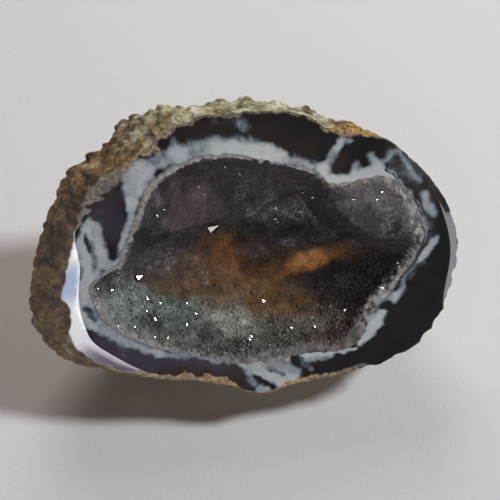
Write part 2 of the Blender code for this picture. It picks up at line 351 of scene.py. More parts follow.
def add_piece(name, places, groups, materials, smooth=True):
    """One object from places in mm, with a group of faces for each material."""
    mesh = bpy.data.meshes.new(name)
    faces = [face for group in groups for part in group for face in part.tolist()]
    mesh.from_pydata(to_row(places).tolist(), [], faces)
    slots = np.repeat(np.arange(len(groups)), [sum(len(part) for part in group) for group in groups])
    mesh.polygons.foreach_set("material_index", slots.astype(np.int32))
    mesh.polygons.foreach_set("use_smooth", np.full(len(faces), smooth))
    for material in materials:
        mesh.materials.append(material)
    made = bpy.data.objects.new(name, mesh)
    bpy.context.scene.collection.objects.link(made)
    return made


def store(piece, name, values):
    """Keeps a number, or a vector, for each point of a piece, for its materials to read."""
    kind = "FLOAT" if values.ndim == 1 else "FLOAT_VECTOR"
    field = "value" if values.ndim == 1 else "vector"
    attribute = piece.data.attributes.new(name, kind, "POINT")
    attribute.data.foreach_set(field, values.astype(np.float32).ravel())


def crease(piece, ring):
    """Keeps the shading of the surfaces on the two sides of a closed ring of points apart."""
    mesh = piece.data
    ends = np.empty(len(mesh.edges) * 2, np.int32)
    mesh.edges.foreach_get("vertices", ends)
    sharp = np.zeros(len(mesh.edges), bool)
    if "sharp_edge" in mesh.attributes:
        mesh.attributes["sharp_edge"].data.foreach_get("value", sharp)
    else:
        mesh.attributes.new("sharp_edge", "BOOLEAN", "EDGE")
    sharp |= np.isin(ends.reshape(-1, 2), ring).all(axis=1)
    mesh.attributes["sharp_edge"].data.foreach_set("value", sharp)


def linear(colour):
    """An sRGB colour, written as hex, in the linear values that the shaders take."""
    parts = [int(colour[index:index + 2], 16) / 255 for index in (1, 3, 5)]
    return [part / 12.92 if part <= 0.04045 else ((part + 0.055) / 1.055) ** 2.4 for part in parts] + [1.0]


def add(tree, kind, inputs=None, stops=None, output=0, **settings):
    """Adds a node and gives one of its outputs. An input is a value, or the output of another node."""
    made = tree.nodes.new("ShaderNode" + kind)
    for name, value in settings.items():
        setattr(made, name, value)
    for name, value in (inputs or {}).items():
        if isinstance(value, bpy.types.NodeSocket):
            tree.links.new(value, made.inputs[name])
        else:
            made.inputs[name].default_value = value
    for index, (place, colour) in enumerate(stops or []):
        ramp = made.color_ramp.elements
        stop = ramp[index] if index < 2 else ramp.new(place)
        stop.position = place
        stop.color = linear(colour)
    return made.outputs[output] if made.outputs else None


def new_material(name):
    """An empty material, and its tree of nodes."""
    material = bpy.data.materials.new(name)
    material.use_nodes = True
    material.node_tree.nodes.clear()
    return material, material.node_tree


# Soft marks on the face, each drawn like a brush stroke: how soft its edge is in mm, its strength, and a path
# of places with half widths in mm. First the blue-white chalcedony.
CHALCEDONY = [
    # The band along the top of the hollow, with a smoky outer side.
    (1.7, 0.75, [(-8.6, 13.6, 0.3), (-6.7, 14.0, 0.4), (-4.5, 14.3, 0.4)]),
    (1.4, 1.0, [(-3.9, 14.2, 0.3), (-1.5, 14.3, 0.5), (0.7, 14.0, 0.6), (3.0, 13.4, 0.5), (4.5, 12.9, 0.3)]),
    (0.9, 0.75, [(3.7, 13.1, 0.4), (6.7, 12.3, 0.3), (9.0, 11.5, 0.3), (11.2, 10.9, 0.3)]),
    # The wedge at the left, its tail beside the hollow, and the finger above it.
    (0.9, 0.85, [(-15.4, 11.4, 0.9), (-16.2, 10.5, 1.2), (-16.4, 8.4, 0.9), (-16.4, 6.6, 0.4)]),
    (0.6, 0.85, [(-16.4, 6.6, 0.4), (-16.7, 3.7, 0.2), (-17.6, 1.1, 0.1), (-18.6, -1.6, 0.1)]),
    (0.9, 0.7, [(-15.0, 11.6, 0.8), (-13.2, 12.3, 0.5), (-11.4, 12.8, 0.5), (-9.4, 13.4, 0.5)]),
    (0.7, 0.75, [(-13.6, 11.2, 0.3), (-14.4, 10.0, 0.5), (-15.0, 8.4, 0.3)]),
    (0.8, 0.6, [(-10.4, 15.4, 0.2), (-10.2, 14.4, 0.4), (-9.8, 13.4, 0.5)]),
    # The plume at the upper right, and the white band round the shelf.
    (0.7, 0.7, [(11.3, 10.9, 0.2), (12.2, 11.7, 0.2), (13.0, 13.0, 0.2), (13.9, 14.6, 0.2)]),
    (0.5, 0.75, [(13.6, 13.9, 0.2), (14.4, 15.3, 0.2), (15.4, 15.1, 0.1)]),
    (0.8, 1.0, [(11.6, 10.8, 0.3), (11.9, 9.9, 0.3), (12.7, 9.4, 0.4), (14.0, 9.2, 0.4), (15.4, 9.3, 0.4),
                (16.8, 10.0, 0.4), (18.4, 10.2, 0.5), (20.0, 10.1, 0.5), (21.4, 9.8, 0.3), (22.6, 8.8, 0.2)]),
    (0.8, 0.8, [(19.8, 10.6, 0.4), (19.2, 11.6, 0.3), (18.6, 12.9, 0.1)]),
    (0.6, 0.7, [(20.2, 10.8, 0.3), (20.0, 12.0, 0.1)]),
    (0.7, 0.7, [(16.7, 10.3, 0.4), (16.2, 11.6, 0.1)]),
    # Smoky whorls and blue spots down the right side.
    (1.0, 0.42, [(22.2, 13.6, 0.1), (21.4, 12.6, 0.2), (22.0, 11.5, 0.2), (23.8, 10.9, 0.2),
                 (25.4, 9.6, 0.1)]),
    (1.2, 0.25, [(24.0, 12.6, 0.2), (26.0, 10.8, 0.3), (27.8, 8.6, 0.3), (28.8, 6.9, 0.2)]),
    (0.4, 0.5, [(20.9, 12.2, 0.1), (21.6, 13.5, 0.1), (22.8, 13.5, 0.1), (23.6, 12.2, 0.1), (24.6, 10.4, 0.1),
                (26.0, 8.8, 0.1)]),
    (0.8, 0.3, [(23.4, 9.9, 0.1), (24.6, 8.9, 0.2), (25.2, 8.0, 0.2)]),
    (0.9, 0.85, [(26.5, 6.8, 0.1), (27.0, 5.8, 0.2), (27.6, 4.9, 0.2), (28.0, 4.3, 0.1)]),
    (1.0, 0.4, [(27.0, 2.9, 0.4), (27.4, 1.8, 0.4), (27.0, 0.9, 0.3)]),
    (0.6, 0.85, [(28.7, 0.4, 0.1), (28.0, -0.5, 0.2), (27.2, -1.6, 0.2), (26.4, -2.6, 0.1)]),
    (0.4, 0.65, [(26.8, -2.0, 0.1), (25.2, -3.9, 0.1), (24.2, -5.4, 0.1), (23.5, -7.0, 0.1),
                 (22.9, -8.2, 0.1)]),
    (0.4, 0.4, [(26.9, -3.3, 0.1), (25.7, -4.4, 0.1), (24.9, -5.8, 0.1)]),
    # The grey smear, the two blue-white blobs, and the line over the black lens at the lower right.
    (1.0, 0.55, [(19.3, -9.3, 0.2), (20.6, -8.8, 0.4), (22.2, -8.4, 0.4), (23.3, -7.9, 0.2)]),
    (0.6, 0.8, [(22.4, -8.8, 0.1), (23.0, -8.1, 0.2)]),
    (0.5, 0.6, [(18.6, -9.4, 0.1), (18.9, -10.6, 0.2), (18.8, -11.9, 0.2)]),
    (0.7, 1.0, [(20.5, -10.9, 0.3), (20.0, -12.2, 0.5), (19.2, -13.1, 0.4)]),
    (0.7, 1.0, [(19.2, -13.3, 0.2), (18.3, -14.4, 0.3), (17.3, -15.4, 0.1)]),
    (0.3, 0.9, [(8.6, -17.2, 0.1), (10.3, -17.0, 0.2), (12.1, -16.9, 0.1), (15.1, -16.7, 0.1),
                (16.5, -16.3, 0.1)]),
    (0.6, 0.7, [(9.6, -17.6, 0.2), (11.2, -17.5, 0.2), (13.0, -17.2, 0.1)]),
    (0.6, 0.5, [(8.7, -17.4, 0.3), (9.3, -18.5, 0.3), (9.8, -19.2, 0.1)]),
    # The vein at the bottom: a grey base, two limbs and the white streaks between them.
    (1.0, 0.75, [(0.6, -17.8, 0.3), (2.0, -18.8, 0.9), (3.8, -19.6, 1.3), (6.0, -19.8, 1.0),
                 (7.4, -20.0, 0.5)]),
    (0.6, 0.6, [(-0.2, -18.2, 0.2), (0.4, -19.8, 0.2), (1.1, -21.2, 0.2)]),
    (0.8, 0.85, [(1.7, -18.8, 0.2), (3.2, -19.8, 0.4), (5.3, -20.5, 0.4), (7.1, -20.9, 0.2)]),
    (0.5, 0.9, [(5.0, -21.4, 0.2), (6.2, -21.2, 0.3), (7.3, -20.6, 0.2)]),
    (0.5, 0.8, [(2.0, -22.2, 0.2), (3.3, -22.3, 0.3)]),
    # The arch at the left with its two limbs, and the milky ground below it.
    (0.6, 0.9, [(-24.9, -1.2, 0.1), (-24.0, 0.9, 0.2), (-23.2, 2.6, 0.4), (-22.6, 3.6, 0.4),
                (-21.8, 3.4, 0.3), (-21.3, 1.9, 0.4), (-20.9, 0.3, 0.5), (-20.3, -1.2, 0.4)]),
    (0.8, 0.85, [(-22.9, 2.2, 0.2), (-23.1, 0.4, 0.3), (-23.3, -1.6, 0.5), (-23.4, -3.8, 0.7),
                 (-23.2, -5.6, 0.9)]),
    (0.9, 0.9, [(-22.7, 0.6, 0.6), (-22.5, -2.0, 1.1), (-22.9, -4.6, 1.3), (-23.4, -7.0, 1.1),
                (-23.5, -9.4, 0.9), (-23.0, -11.0, 0.6)]),
    (0.8, 0.85, [(-20.8, -1.0, 0.4), (-20.6, -2.2, 0.5), (-19.4, -3.0, 0.4), (-18.6, -2.4, 0.2)]),
    (0.9, 0.8, [(-23.6, -10.8, 0.2), (-21.7, -11.8, 0.5), (-19.5, -13.0, 0.5), (-17.3, -14.2, 0.4),
                (-14.6, -15.5, 0.2), (-12.8, -16.1, 0.1)]),
    (0.5, 0.7, [(-13.6, -16.1, 0.2), (-11.4, -16.6, 0.1), (-9.0, -16.7, 0.2), (-7.2, -16.8, 0.1),
                (-5.0, -17.5, 0.1), (-2.2, -17.6, 0.1), (-0.6, -17.9, 0.2)]),
    (0.7, 0.4, [(-18.6, -15.0, 0.2), (-18.2, -16.4, 0.1)]),
    # Faint blue wisps under the top edge and at the upper left.
    (0.7, 0.4, [(-0.3, 17.8, 0.3), (0.1, 17.1, 0.1)]),
    (1.2, 0.28, [(-4.3, 18.3, 0.2), (-2.9, 18.6, 0.3), (-1.5, 18.2, 0.3), (-0.3, 17.4, 0.2)]),
    (0.9, 0.25, [(-22.0, 5.4, 0.2), (-20.9, 4.8, 0.4), (-20.4, 3.6, 0.2)]),
]
# Clear dark agate that shows through the chalcedony.
DARK_AGATE = [
    (0.3, 0.6, [(-23.3, 1.6, 0.05), (-23.1, 0.5, 0.12), (-22.7, -0.6, 0.05)]),
    (0.5, 0.4, [(-22.5, 0.4, 0.1), (-22.1, -1.5, 0.15), (-22.1, -3.2, 0.05)]),
    (0.3, 0.4, [(-24.0, -3.0, 0.05), (-24.1, -4.4, 0.05)]),
    (0.5, 0.5, [(-23.4, -9.3, 0.1), (-22.9, -10.0, 0.2), (-22.3, -10.6, 0.05)]),
    (0.7, 0.95, [(-19.9, 1.4, 0.4), (-19.5, -0.3, 0.3), (-19.3, -1.3, 0.05)]),
    (0.3, 0.8, [(1.6, -20.3, 0.1), (2.7, -21.0, 0.1), (4.0, -21.7, 0.1)]),
    (0.3, 0.4, [(3.4, -18.9, 0.1), (4.8, -19.4, 0.1), (6.0, -20.0, 0.1)]),
    (0.5, 0.9, [(21.4, -9.6, 0.2), (20.4, -10.0, 0.1)]),
    (0.3, 1.0, [(8.6, -15.9, 0.1), (10.0, -16.3, 0.2), (11.4, -16.1, 0.1)]),
]
# The quartz round the hollow: its width in mm by the angle, and how free it is of the chalcedony behind it.
QUARTZ_WIDTH = [(0, 1.5), (15, 1.7), (30, 1.1), (60, 0.5), (85, 0.5), (105, 0.7), (125, 0.9), (150, 1.0),
                (180, 1.0), (195, 0.9), (215, 0.5), (240, 0.1), (260, 0.2), (267, 2.6), (284, 2.8),
                (292, 0.6), (300, 0.1), (330, 0.5), (345, 1.5)]
QUARTZ_CLEAR = [(0, 0.9), (256, 0.9), (266, 0.1), (286, 0.1), (294, 0.9)]
# Where iron has stained the clear agate brown.
BROWN_STAIN = [
    (2.5, 0.8, [(22.8, 12.2, 0.6), (25.2, 9.6, 1.0), (27.4, 7.4, 0.8)]),
    (2.0, 0.6, [(-24.6, 5.8, 0.8), (-23.4, 7.4, 0.8), (-18.0, 11.6, 0.6)]),
    (2.0, 0.45, [(-9.0, 16.6, 0.5), (-4.0, 16.6, 0.8), (4.0, 15.6, 0.6), (9.0, 13.8, 0.4)]),
    (0.8, 0.9, [(12.9, 10.4, 0.3), (13.4, 11.6, 0.4), (14.0, 12.6, 0.2)]),
    (0.8, 0.4, [(-21.0, -3.4, 0.3), (-18.6, -3.3, 0.4)]),
    (1.5, 0.8, [(-12.0, -19.9, 0.4), (-6.0, -20.4, 0.5), (-2.0, -21.4, 0.5)]),
    (1.5, 0.5, [(-0.8, -18.8, 0.4), (-0.4, -20.6, 0.5)]),
]
# Violet-grey on the clear agate. At the upper left and right, light gets some way into the agate; along the
# bottom left the violet-grey is a painted reflection, a sheen in the polish.
SMOKY_AGATE_AND_SHEEN = [
    (2.5, 1.0, [(-20.5, -14.6, 0.6), (-17.0, -17.4, 1.0), (-12.0, -18.2, 1.0), (-5.0, -18.9, 0.9),
                (-1.4, -19.4, 0.6)]),
    (2.0, 0.7, [(-20.5, 7.0, 1.0), (-21.0, 4.6, 1.0), (-19.6, 3.0, 0.8)]),
    (1.8, 0.6, [(22.8, 12.4, 0.6), (24.8, 10.6, 1.0), (26.6, 8.6, 0.8)]),
]
# How far the weathered skin of the nodule reaches in from the face's edge, in mm by the angle.
SKIN_WIDTH = [(0, 0.0), (34, 0.1), (39, 0.4), (45, 1.1), (51, 0.8), (57, 0.4), (75, 0.3), (100, 0.5),
              (120, 0.6), (140, 1.3), (155, 1.3), (168, 0.6), (178, 0.1), (222, 0.1), (232, 0.5), (246, 0.9),
              (262, 0.8), (270, 0.1), (282, 0.3), (288, 0.7), (300, 0.7), (311, 0.6), (318, 0.0), (340, 0.0)]
# Flakes of the same skin further in.
SKIN_FLAKES = [
    (0.15, 0.9, [(-22.8, 6.4, 0.1), (-21.9, 7.2, 0.25), (-20.8, 7.0, 0.05)]),
    (0.15, 0.9, [(-21.6, 10.6, 0.1), (-21.0, 10.1, 0.2), (-20.2, 10.5, 0.1)]),
    (0.3, 0.8, [(-24.4, 4.6, 0.2), (-23.7, 5.3, 0.4), (-22.8, 5.3, 0.2)]),
    (0.1, 0.9, [(-20.2, 12.8, 0.15), (-20.0, 12.8, 0.15)]),
    (0.5, 0.9, [(-16.9, 13.7, 0.3), (-17.8, 11.8, 0.5), (-19.3, 9.8, 0.4)]),
    (0.5, 0.6, [(-19.9, 8.6, 0.2), (-21.6, 8.2, 0.4), (-22.6, 8.0, 0.2)]),
]
# A fine crack at the upper right, and how far from it its distance is stored, in mm.
CRACK = [(20.8, 12.4), (21.1, 11.5), (20.8, 10.8), (22.0, 10.1), (22.9, 8.9), (23.8, 7.5), (25.0, 6.2),
         (25.8, 5.0), (26.4, 3.8), (26.1, 2.9), (26.6, 1.6), (26.6, 0.2), (25.8, -1.4), (25.4, -2.3)]
CRACK_REACH = 2.5
# A mark fades out over this many times its softness.
SOFTENED = 1.5
# How the marks' edges wander, in mm: the size of the wander, that of a finer one, and how far they reach.
WISP_SIZE, FINE_WISP_SIZE, WISP_REACH = 1.6, 0.64, 0.4
# How ragged the quartz is in mm, and the skin as a share of its width, and how soft the skin's edge is in mm.
QUARTZ_RAGGED, SKIN_RAGGED, SKIN_EDGE = 0.45, 0.9, 0.3
# How many mm of growth pattern there are for each radian round the hollow.
GROWTH_TURN = 15.0


def brush(places, marks):
    """How strongly a set of soft marks covers each place of the face, from 0 to 1."""
    clear = np.ones(len(places))
    for softness, strength, path in marks:
        cover = np.zeros(len(places))
        for (x, y, width), (end_x, end_y, end_width) in zip(path, path[1:]):
            along = np.array([end_x - x, end_y - y])
            arms = places[:, :2] - (x, y)
            share = np.clip(arms @ along / (along @ along), 0, 1)
            gap = np.hypot(*(arms - share[:, None] * along).T)
            half = width + (end_width - width) * share
            fade = np.clip(1 + (half - gap) / softness / SOFTENED, 0, 1)
            cover = np.maximum(cover, fade * fade * (3 - 2 * fade) * strength)
        clear *= 1 - cover
    return 1 - clear


def side_of(places, path):
    """How far each place lies left of an open path in mm, and 1 along its middle, with 0 at its ends."""
    nearest = np.full(len(places), np.inf)
    side = np.zeros(len(places))
    inside = np.zeros(len(places))
    steps = len(path) - 1
    for index, (start, end) in enumerate(zip(path, path[1:])):
        along = np.subtract(end, start)
        arms = places[:, :2] - start
        share = np.clip(arms @ along / (along @ along), 0, 1)
        gap = np.hypot(*(arms - share[:, None] * along).T)
        closer = gap < nearest
        turn = along[0] * arms[:, 1] - along[1] * arms[:, 0]
        nearest = np.where(closer, gap, nearest)
        side = np.where(closer, np.copysign(gap, turn), side)
        whole = (index + share) / steps
        inside = np.where(closer, np.clip(np.minimum(whole, 1 - whole) * 8, 0, 1), inside)
    return np.clip(side, -CRACK_REACH, CRACK_REACH), inside


def mark_face(piece, places):
    """Stores the marks of the agate for the points of a polished surface."""
    arms = places[:, :2] - HOLLOW_AXIS
    angle = np.arctan2(arms[:, 1], arms[:, 0])
    outward = np.hypot(*arms.T) - reach(rim_ring, angle)
    wander = [smooth_noise(places + shift, WISP_SIZE) + 0.5 * smooth_noise(places - shift, FINE_WISP_SIZE)
              for shift in (11, 37)]
    wandered = places[:, :2] + np.stack(wander, axis=1) * WISP_REACH
    ragged = outward + wander[0] * QUARTZ_RAGGED
    quartz = np.clip(0.5 + by_angle(QUARTZ_WIDTH, angle) - ragged, 0, 1)
    store(piece, "quartz", quartz)
    # Chalcedony is left out only where the quartz is at least half there, so that no dark line parts the two.
    clear = 1 - np.clip(quartz * 2 - 1, 0, 1) * by_angle(QUARTZ_CLEAR, angle)
    clear *= 1 - brush(wandered, DARK_AGATE)
    store(piece, "chalcedony", brush(wandered, CHALCEDONY) * clear)
    store(piece, "stain", brush(wandered, BROWN_STAIN))
    store(piece, "smoke_and_sheen", brush(wandered, SMOKY_AGATE_AND_SHEEN))
    turn = np.arctan2(places[:, 1], places[:, 0])
    width = by_angle(SKIN_WIDTH, turn)
    inward = reach(face_ring, turn) - chip_bites(turn) - np.hypot(*places[:, :2].T)
    inward += wander[1] * width * SKIN_RAGGED
    skin = np.clip((width - inward) / SKIN_EDGE + 0.5, 0, 1)
    store(piece, "skin", np.maximum(skin, brush(wandered, SKIN_FLAKES)))
    crack, inside = side_of(wandered, CRACK)
    store(piece, "crack", crack)
    store(piece, "crack_inside", inside)
    store(piece, "growth", np.stack([outward, angle * GROWTH_TURN, np.zeros(len(places))], axis=1))


# Polished agate: microcrystalline quartz, ground and polished like glass. It is near-black where it is clear
# and deep, and blue-white where fine chalcedony clouds it, with grey quartz next to the hollow.
polished_agate, tree = new_material("polished_agate")
where = add(tree, "TexCoord", output="Object")
growth = add(tree, "Attribute", attribute_name="growth", output="Vector")
drift = add(tree, "TexNoise", {"Vector": where, "Scale": 1 / (7 * MM), "Detail": 3.0})
body = add(tree, "ValToRGB", {"Fac": drift}, stops=[(0.3, "#262527"), (0.7, "#322f32")])
# The violet-grey of the smoky agate, with a painted reflection along the bottom left.
smoke_and_sheen = add(tree, "Attribute", attribute_name="smoke_and_sheen", output="Fac")
body = add(tree, "Mix", {0: smoke_and_sheen, 6: body, 7: linear("#504a55")}, data_type="RGBA", output=2)
stain = add(tree, "Attribute", attribute_name="stain", output="Fac")
body = add(tree, "Mix", {0: stain, 6: body, 7: linear("#3d312a")}, data_type="RGBA", output=2)

# Both kinds of quartz have streaks along their growth, and a cloudiness.
streaks = add(tree, "Mapping", {"Vector": growth, "Scale": (0.5, 3.0, 1.0)})
feather = add(tree, "TexNoise", {"Vector": streaks, "Scale": 1.0, "Detail": 5.0, "Roughness": 0.6,
                                 "Distortion": 0.5})
cloud = add(tree, "TexNoise", {"Vector": where, "Scale": 1 / (1.3 * MM), "Detail": 6.0,
                               "Roughness": 0.6})
grain = add(tree, "Math", {0: feather, 1: 0.4, 2: cloud}, operation="MULTIPLY_ADD")
grain = add(tree, "Math", {0: grain, 1: 0.7}, operation="SUBTRACT")

# Quartz: coarser and clearer than chalcedony, in grains a fraction of a millimetre wide.
quartz_band = add(tree, "Attribute", attribute_name="quartz", output="Fac")
quartz = add(tree, "Math", {0: grain, 1: 0.7, 2: quartz_band}, operation="MULTIPLY_ADD")
quartz = add(tree, "MapRange", {"Value": quartz, "From Min": 0.25, "From Max": 0.8})
needles = add(tree, "TexNoise", {"Vector": where, "Scale": 1 / (0.6 * MM), "Detail": 5.0,
                                 "Roughness": 0.7})
quartz_colour = add(tree, "ValToRGB", {"Fac": needles}, stops=[
    (0.3, "#7a7674"), (0.5, "#a5a29f"), (0.7, "#d2cfca")])
body = add(tree, "Mix", {0: quartz, 6: body, 7: quartz_colour}, data_type="RGBA", output=2)

# Chalcedony: its cloudiness shows most where it is thin, at the soft edge of each mark.
chalcedony = add(tree, "Attribute", attribute_name="chalcedony", output="Fac")
thin = add(tree, "Math", {0: 1.0, 1: chalcedony}, operation="SUBTRACT")
thin = add(tree, "Math", {0: thin, 1: chalcedony}, operation="MULTIPLY")
thin = add(tree, "Math", {0: thin, 1: 1.7, 2: 0.35}, operation="MULTIPLY_ADD")
milk = add(tree, "Math", {0: grain, 1: thin, 2: chalcedony}, operation="MULTIPLY_ADD")
milk_cover = add(tree, "MapRange", {"Value": milk, "From Min": 0.08, "From Max": 0.85},
                 interpolation_type="SMOOTHSTEP")
milk_colour = add(tree, "ValToRGB", {"Fac": milk}, stops=[
    (0.05, "#2e3338"), (0.3, "#525d66"), (0.55, "#828f99"), (0.8, "#aeb8be"), (1.0, "#d2d7d9")])
body = add(tree, "Mix", {0: milk_cover, 6: body, 7: milk_colour}, data_type="RGBA", output=2)

# The crack is a thin dark line, and the nodule's skin is an unpolished ochre rim.
crack = add(tree, "Attribute", attribute_name="crack", output="Fac")
crack = add(tree, "Math", {0: grain, 1: 0.5, 2: crack}, operation="MULTIPLY_ADD")
crack = add(tree, "Math", {0: crack}, operation="ABSOLUTE")
crack = add(tree, "MapRange", {"Value": crack, "From Min": 0.16, "From Max": 0.05})
crack_inside = add(tree, "Attribute", attribute_name="crack_inside", output="Fac")
crack = add(tree, "Math", {0: crack, 1: crack_inside}, operation="MULTIPLY")
body = add(tree, "Mix", {0: crack, 6: body, 7: linear("#0f0e0e")}, data_type="RGBA", output=2)
skin = add(tree, "Attribute", attribute_name="skin", output="Fac")
golden = add(tree, "ValToRGB", {"Fac": needles}, stops=[
    (0.35, "#5a3518"), (0.5, "#a9803f"), (0.65, "#d9ba84")])
olive = add(tree, "ValToRGB", {"Fac": needles}, stops=[
    (0.35, "#28221a"), (0.5, "#544a37"), (0.62, "#9a9068")])
ochre = add(tree, "Attribute", attribute_name="ochre", output="Fac")
skin_colour = add(tree, "Mix", {0: ochre, 6: olive, 7: golden}, data_type="RGBA", output=2)
body = add(tree, "Mix", {0: skin, 6: body, 7: skin_colour}, data_type="RGBA", output=2)
polish = add(tree, "MapRange", {"Value": skin, "To Min": 0.045, "To Max": 0.6})
shader = add(tree, "BsdfPrincipled", {"Base Color": body, "Roughness": polish, "IOR": 1.54})
add(tree, "OutputMaterial", {"Surface": shader})

# The rind: iron-stained clay minerals and weathered chalcedony, dull and pitted. It is brown at the sides,
# and cream and yellow-green at the top. Where the edge is chipped, the fresh break is dark with a waxy gloss.
weathered_rind, tree = new_material("weathered_rind")
where = add(tree, "TexCoord", output="Object")
patches = add(tree, "TexNoise", {"Vector": where, "Scale": 1 / (3.2 * MM), "Detail": 4.0,
                                 "Roughness": 0.6})
specks = add(tree, "TexNoise", {"Vector": where, "Scale": 1 / (0.7 * MM), "Detail": 5.0,
                                "Roughness": 0.7})
mottle = add(tree, "Mix", {0: 0.4, 2: patches, 3: specks})
brown = add(tree, "ValToRGB", {"Fac": mottle}, stops=[
    (0.36, "#48371f"), (0.46, "#785c3a"), (0.54, "#9a7c50"), (0.64, "#cbae70")])
moss = add(tree, "ValToRGB", {"Fac": mottle}, stops=[
    (0.36, "#6f6844"), (0.46, "#a2a07a"), (0.54, "#c6c4a2"), (0.64, "#eae8d2")])
cream = add(tree, "Attribute", attribute_name="cream", output="Fac")
cream = add(tree, "Math", {0: patches, 1: 2.4, 2: cream}, operation="MULTIPLY_ADD")
cream = add(tree, "MapRange", {"Value": cream, "From Min": 1.45, "From Max": 1.9})
colour = add(tree, "Mix", {0: cream, 6: brown, 7: moss}, data_type="RGBA", output=2)
rust = add(tree, "TexNoise", {"Vector": where, "Scale": 1 / (1.9 * MM), "Detail": 3.0})
ochre = add(tree, "Attribute", attribute_name="ochre", output="Fac")
ochre = add(tree, "Math", {0: rust, 1: 2.4, 2: ochre}, operation="MULTIPLY_ADD")
ochre = add(tree, "MapRange", {"Value": ochre, "From Min": 1.45, "From Max": 1.9})
golden = add(tree, "ValToRGB", {"Fac": specks}, stops=[
    (0.35, "#4a3416"), (0.5, "#94702e"), (0.62, "#cdb06a")])
colour = add(tree, "Mix", {0: ochre, 6: colour, 7: golden}, data_type="RGBA", output=2)
knob = add(tree, "Attribute", attribute_name="knob", output="Fac")
knob = add(tree, "Math", {0: knob, 1: 0.7}, operation="MULTIPLY")
colour = add(tree, "Mix", {0: knob, 6: colour, 7: linear("#5e3a26")}, data_type="RGBA", output=2)
# Painted shade: the rind is darker in its holes, pits and creases, and at random specks.
deep = add(tree, "Attribute", attribute_name="depth", output="Fac")
deep = add(tree, "Math", {0: specks, 1: -0.8, 2: deep}, operation="MULTIPLY_ADD")
deep = add(tree, "MapRange", {"Value": deep, "From Min": -0.48, "From Max": 0.1})
colour = add(tree, "Mix", {0: deep, 6: colour, 7: linear("#2a1f17")}, data_type="RGBA", output=2)
fresh = add(tree, "Attribute", attribute_name="fresh", output="Fac")
colour = add(tree, "Mix", {0: fresh, 6: colour, 7: linear("#252226")}, data_type="RGBA", output=2)
dull = add(tree, "MapRange", {"Value": fresh, "To Min": 0.75, "To Max": 0.28})
bumps = add(tree, "TexNoise", {"Vector": where, "Scale": 1 / (0.4 * MM), "Detail": 6.0,
                               "Roughness": 0.7})
rough = add(tree, "Math", {0: 1.0, 1: fresh}, operation="SUBTRACT")
relief = add(tree, "Bump", {"Height": bumps, "Strength": rough, "Distance": 0.2 * MM})
shader = add(tree, "BsdfPrincipled", {"Base Color": colour, "Roughness": dull, "IOR": 1.5, "Normal": relief})
add(tree, "OutputMaterial", {"Surface": shader})

# The stone's mesh: the rind, the face from its edge in to the crust, and the bed that the crust grew on.
directions, rind_faces = half_ball(RIND_POINTS, RING)
rind_places, rind_crevice_shade, rind_knobs = nodule_surface(directions)
turn = math.tau * np.arange(RING) / RING
bed_rim = hollow_rim(turn, CRUST_WALL)
bed_rings, bed_pole = bowl_rows(BED_ROWS, CRUST_WALL)
face_rings = []
for row in range(FACE_ROWS):
    ring = bed_rim + (rind_places[:RING] * (1, 1, 0) - bed_rim) * row / FACE_ROWS
    angle = np.arctan2(ring[:, 1], ring[:, 0])
    ring[:, 2] = -margin_drop(angle, reach(face_ring, angle) - np.hypot(ring[:, 0], ring[:, 1]))
    face_rings.append(ring)
stone_places = np.concatenate([rind_places, bed_pole, *bed_rings, *face_rings])
pole = len(rind_places)
ring_indices = [np.arange(RING) + pole + 1 + row * RING for row in range(len(bed_rings) + FACE_ROWS)]
ring_indices.append(np.arange(RING))
bands = [band_faces(inner, outer) for inner, outer in zip(ring_indices, ring_indices[1:])]
pole_fan = np.stack([np.full(RING, pole), ring_indices[0], np.roll(ring_indices[0], -1)], axis=1)
stone = add_piece(
    "agate_stone", stone_places,
    [[rind_faces], bands[len(bed_rings):], [pole_fan, *bands[:len(bed_rings)]]],
    [weathered_rind, polished_agate, polished_agate],
)
crease(stone, np.arange(RING))
crease(stone, ring_indices[len(bed_rings)])
mark_face(stone, stone_places)
# How cream, ochre or freshly chipped the rind is, by the angle. Each fades out this many mm behind the face.
CREAM = [(0, 0.1), (35, 0.2), (60, 0.6), (80, 1.0), (120, 0.9), (139, 0.55), (149, 0.1), (200, 0.0),
         (230, 0.2), (270, 0.3)]
OCHRE = [(0, 0.0), (34, 0.1), (42, 1.0), (50, 0.9), (56, 0.2), (100, 0.1), (116, 0.2), (126, 0.5),
         (142, 0.4), (158, 0.1), (200, 0.0), (228, 0.3), (236, 0.8), (290, 0.9), (312, 0.0)]
FRESH = [(0, 0.7), (20, 0.6), (34, 0.3), (44, 0.0), (285, 0.0), (305, 0.5), (314, 1.0), (340, 1.0),
         (352, 0.8)]
angle = np.arctan2(stone_places[:, 1], stone_places[:, 0])
for name, table, depth in (("cream", CREAM, 11.0), ("ochre", OCHRE, 3.0), ("fresh", FRESH, 3.5)):
    store(stone, name, by_angle(table, angle) * np.exp(-((stone_places[:, 2] / depth) ** 2)))
# How deep each point of the rind lies in a crease or pit, for its painted shade, and how far up a knob.
unmarked = np.zeros(len(stone_places) - len(rind_places))
store(stone, "depth", np.concatenate([rind_crevice_shade, unmarked]))
store(stone, "knob", np.concatenate([rind_knobs, unmarked]))
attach(stone, "root")
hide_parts("agate_nodule")

# The crust: the last thing to grow in the hollow, a layer of quartz with small six-sided points on all of its
# inner side. Where the saw met it, its edge is polished flush with the face. Iron and a little chlorite
# colour it, from rust-brown at the bottom of the hollow to grey-green at the front.

# How fine its mesh is, and the swells of its inner side: their size and height in mm, and how much of their
# height there is across the face, up it and out of it.
WALL_POINTS = 19000
RIM_ROWS = 8
SWELLS = [(5.0, 0.9), (2.2, 0.45), (0.9, 0.15)]
SWELL_SHARES = (1, 1, 0.6)
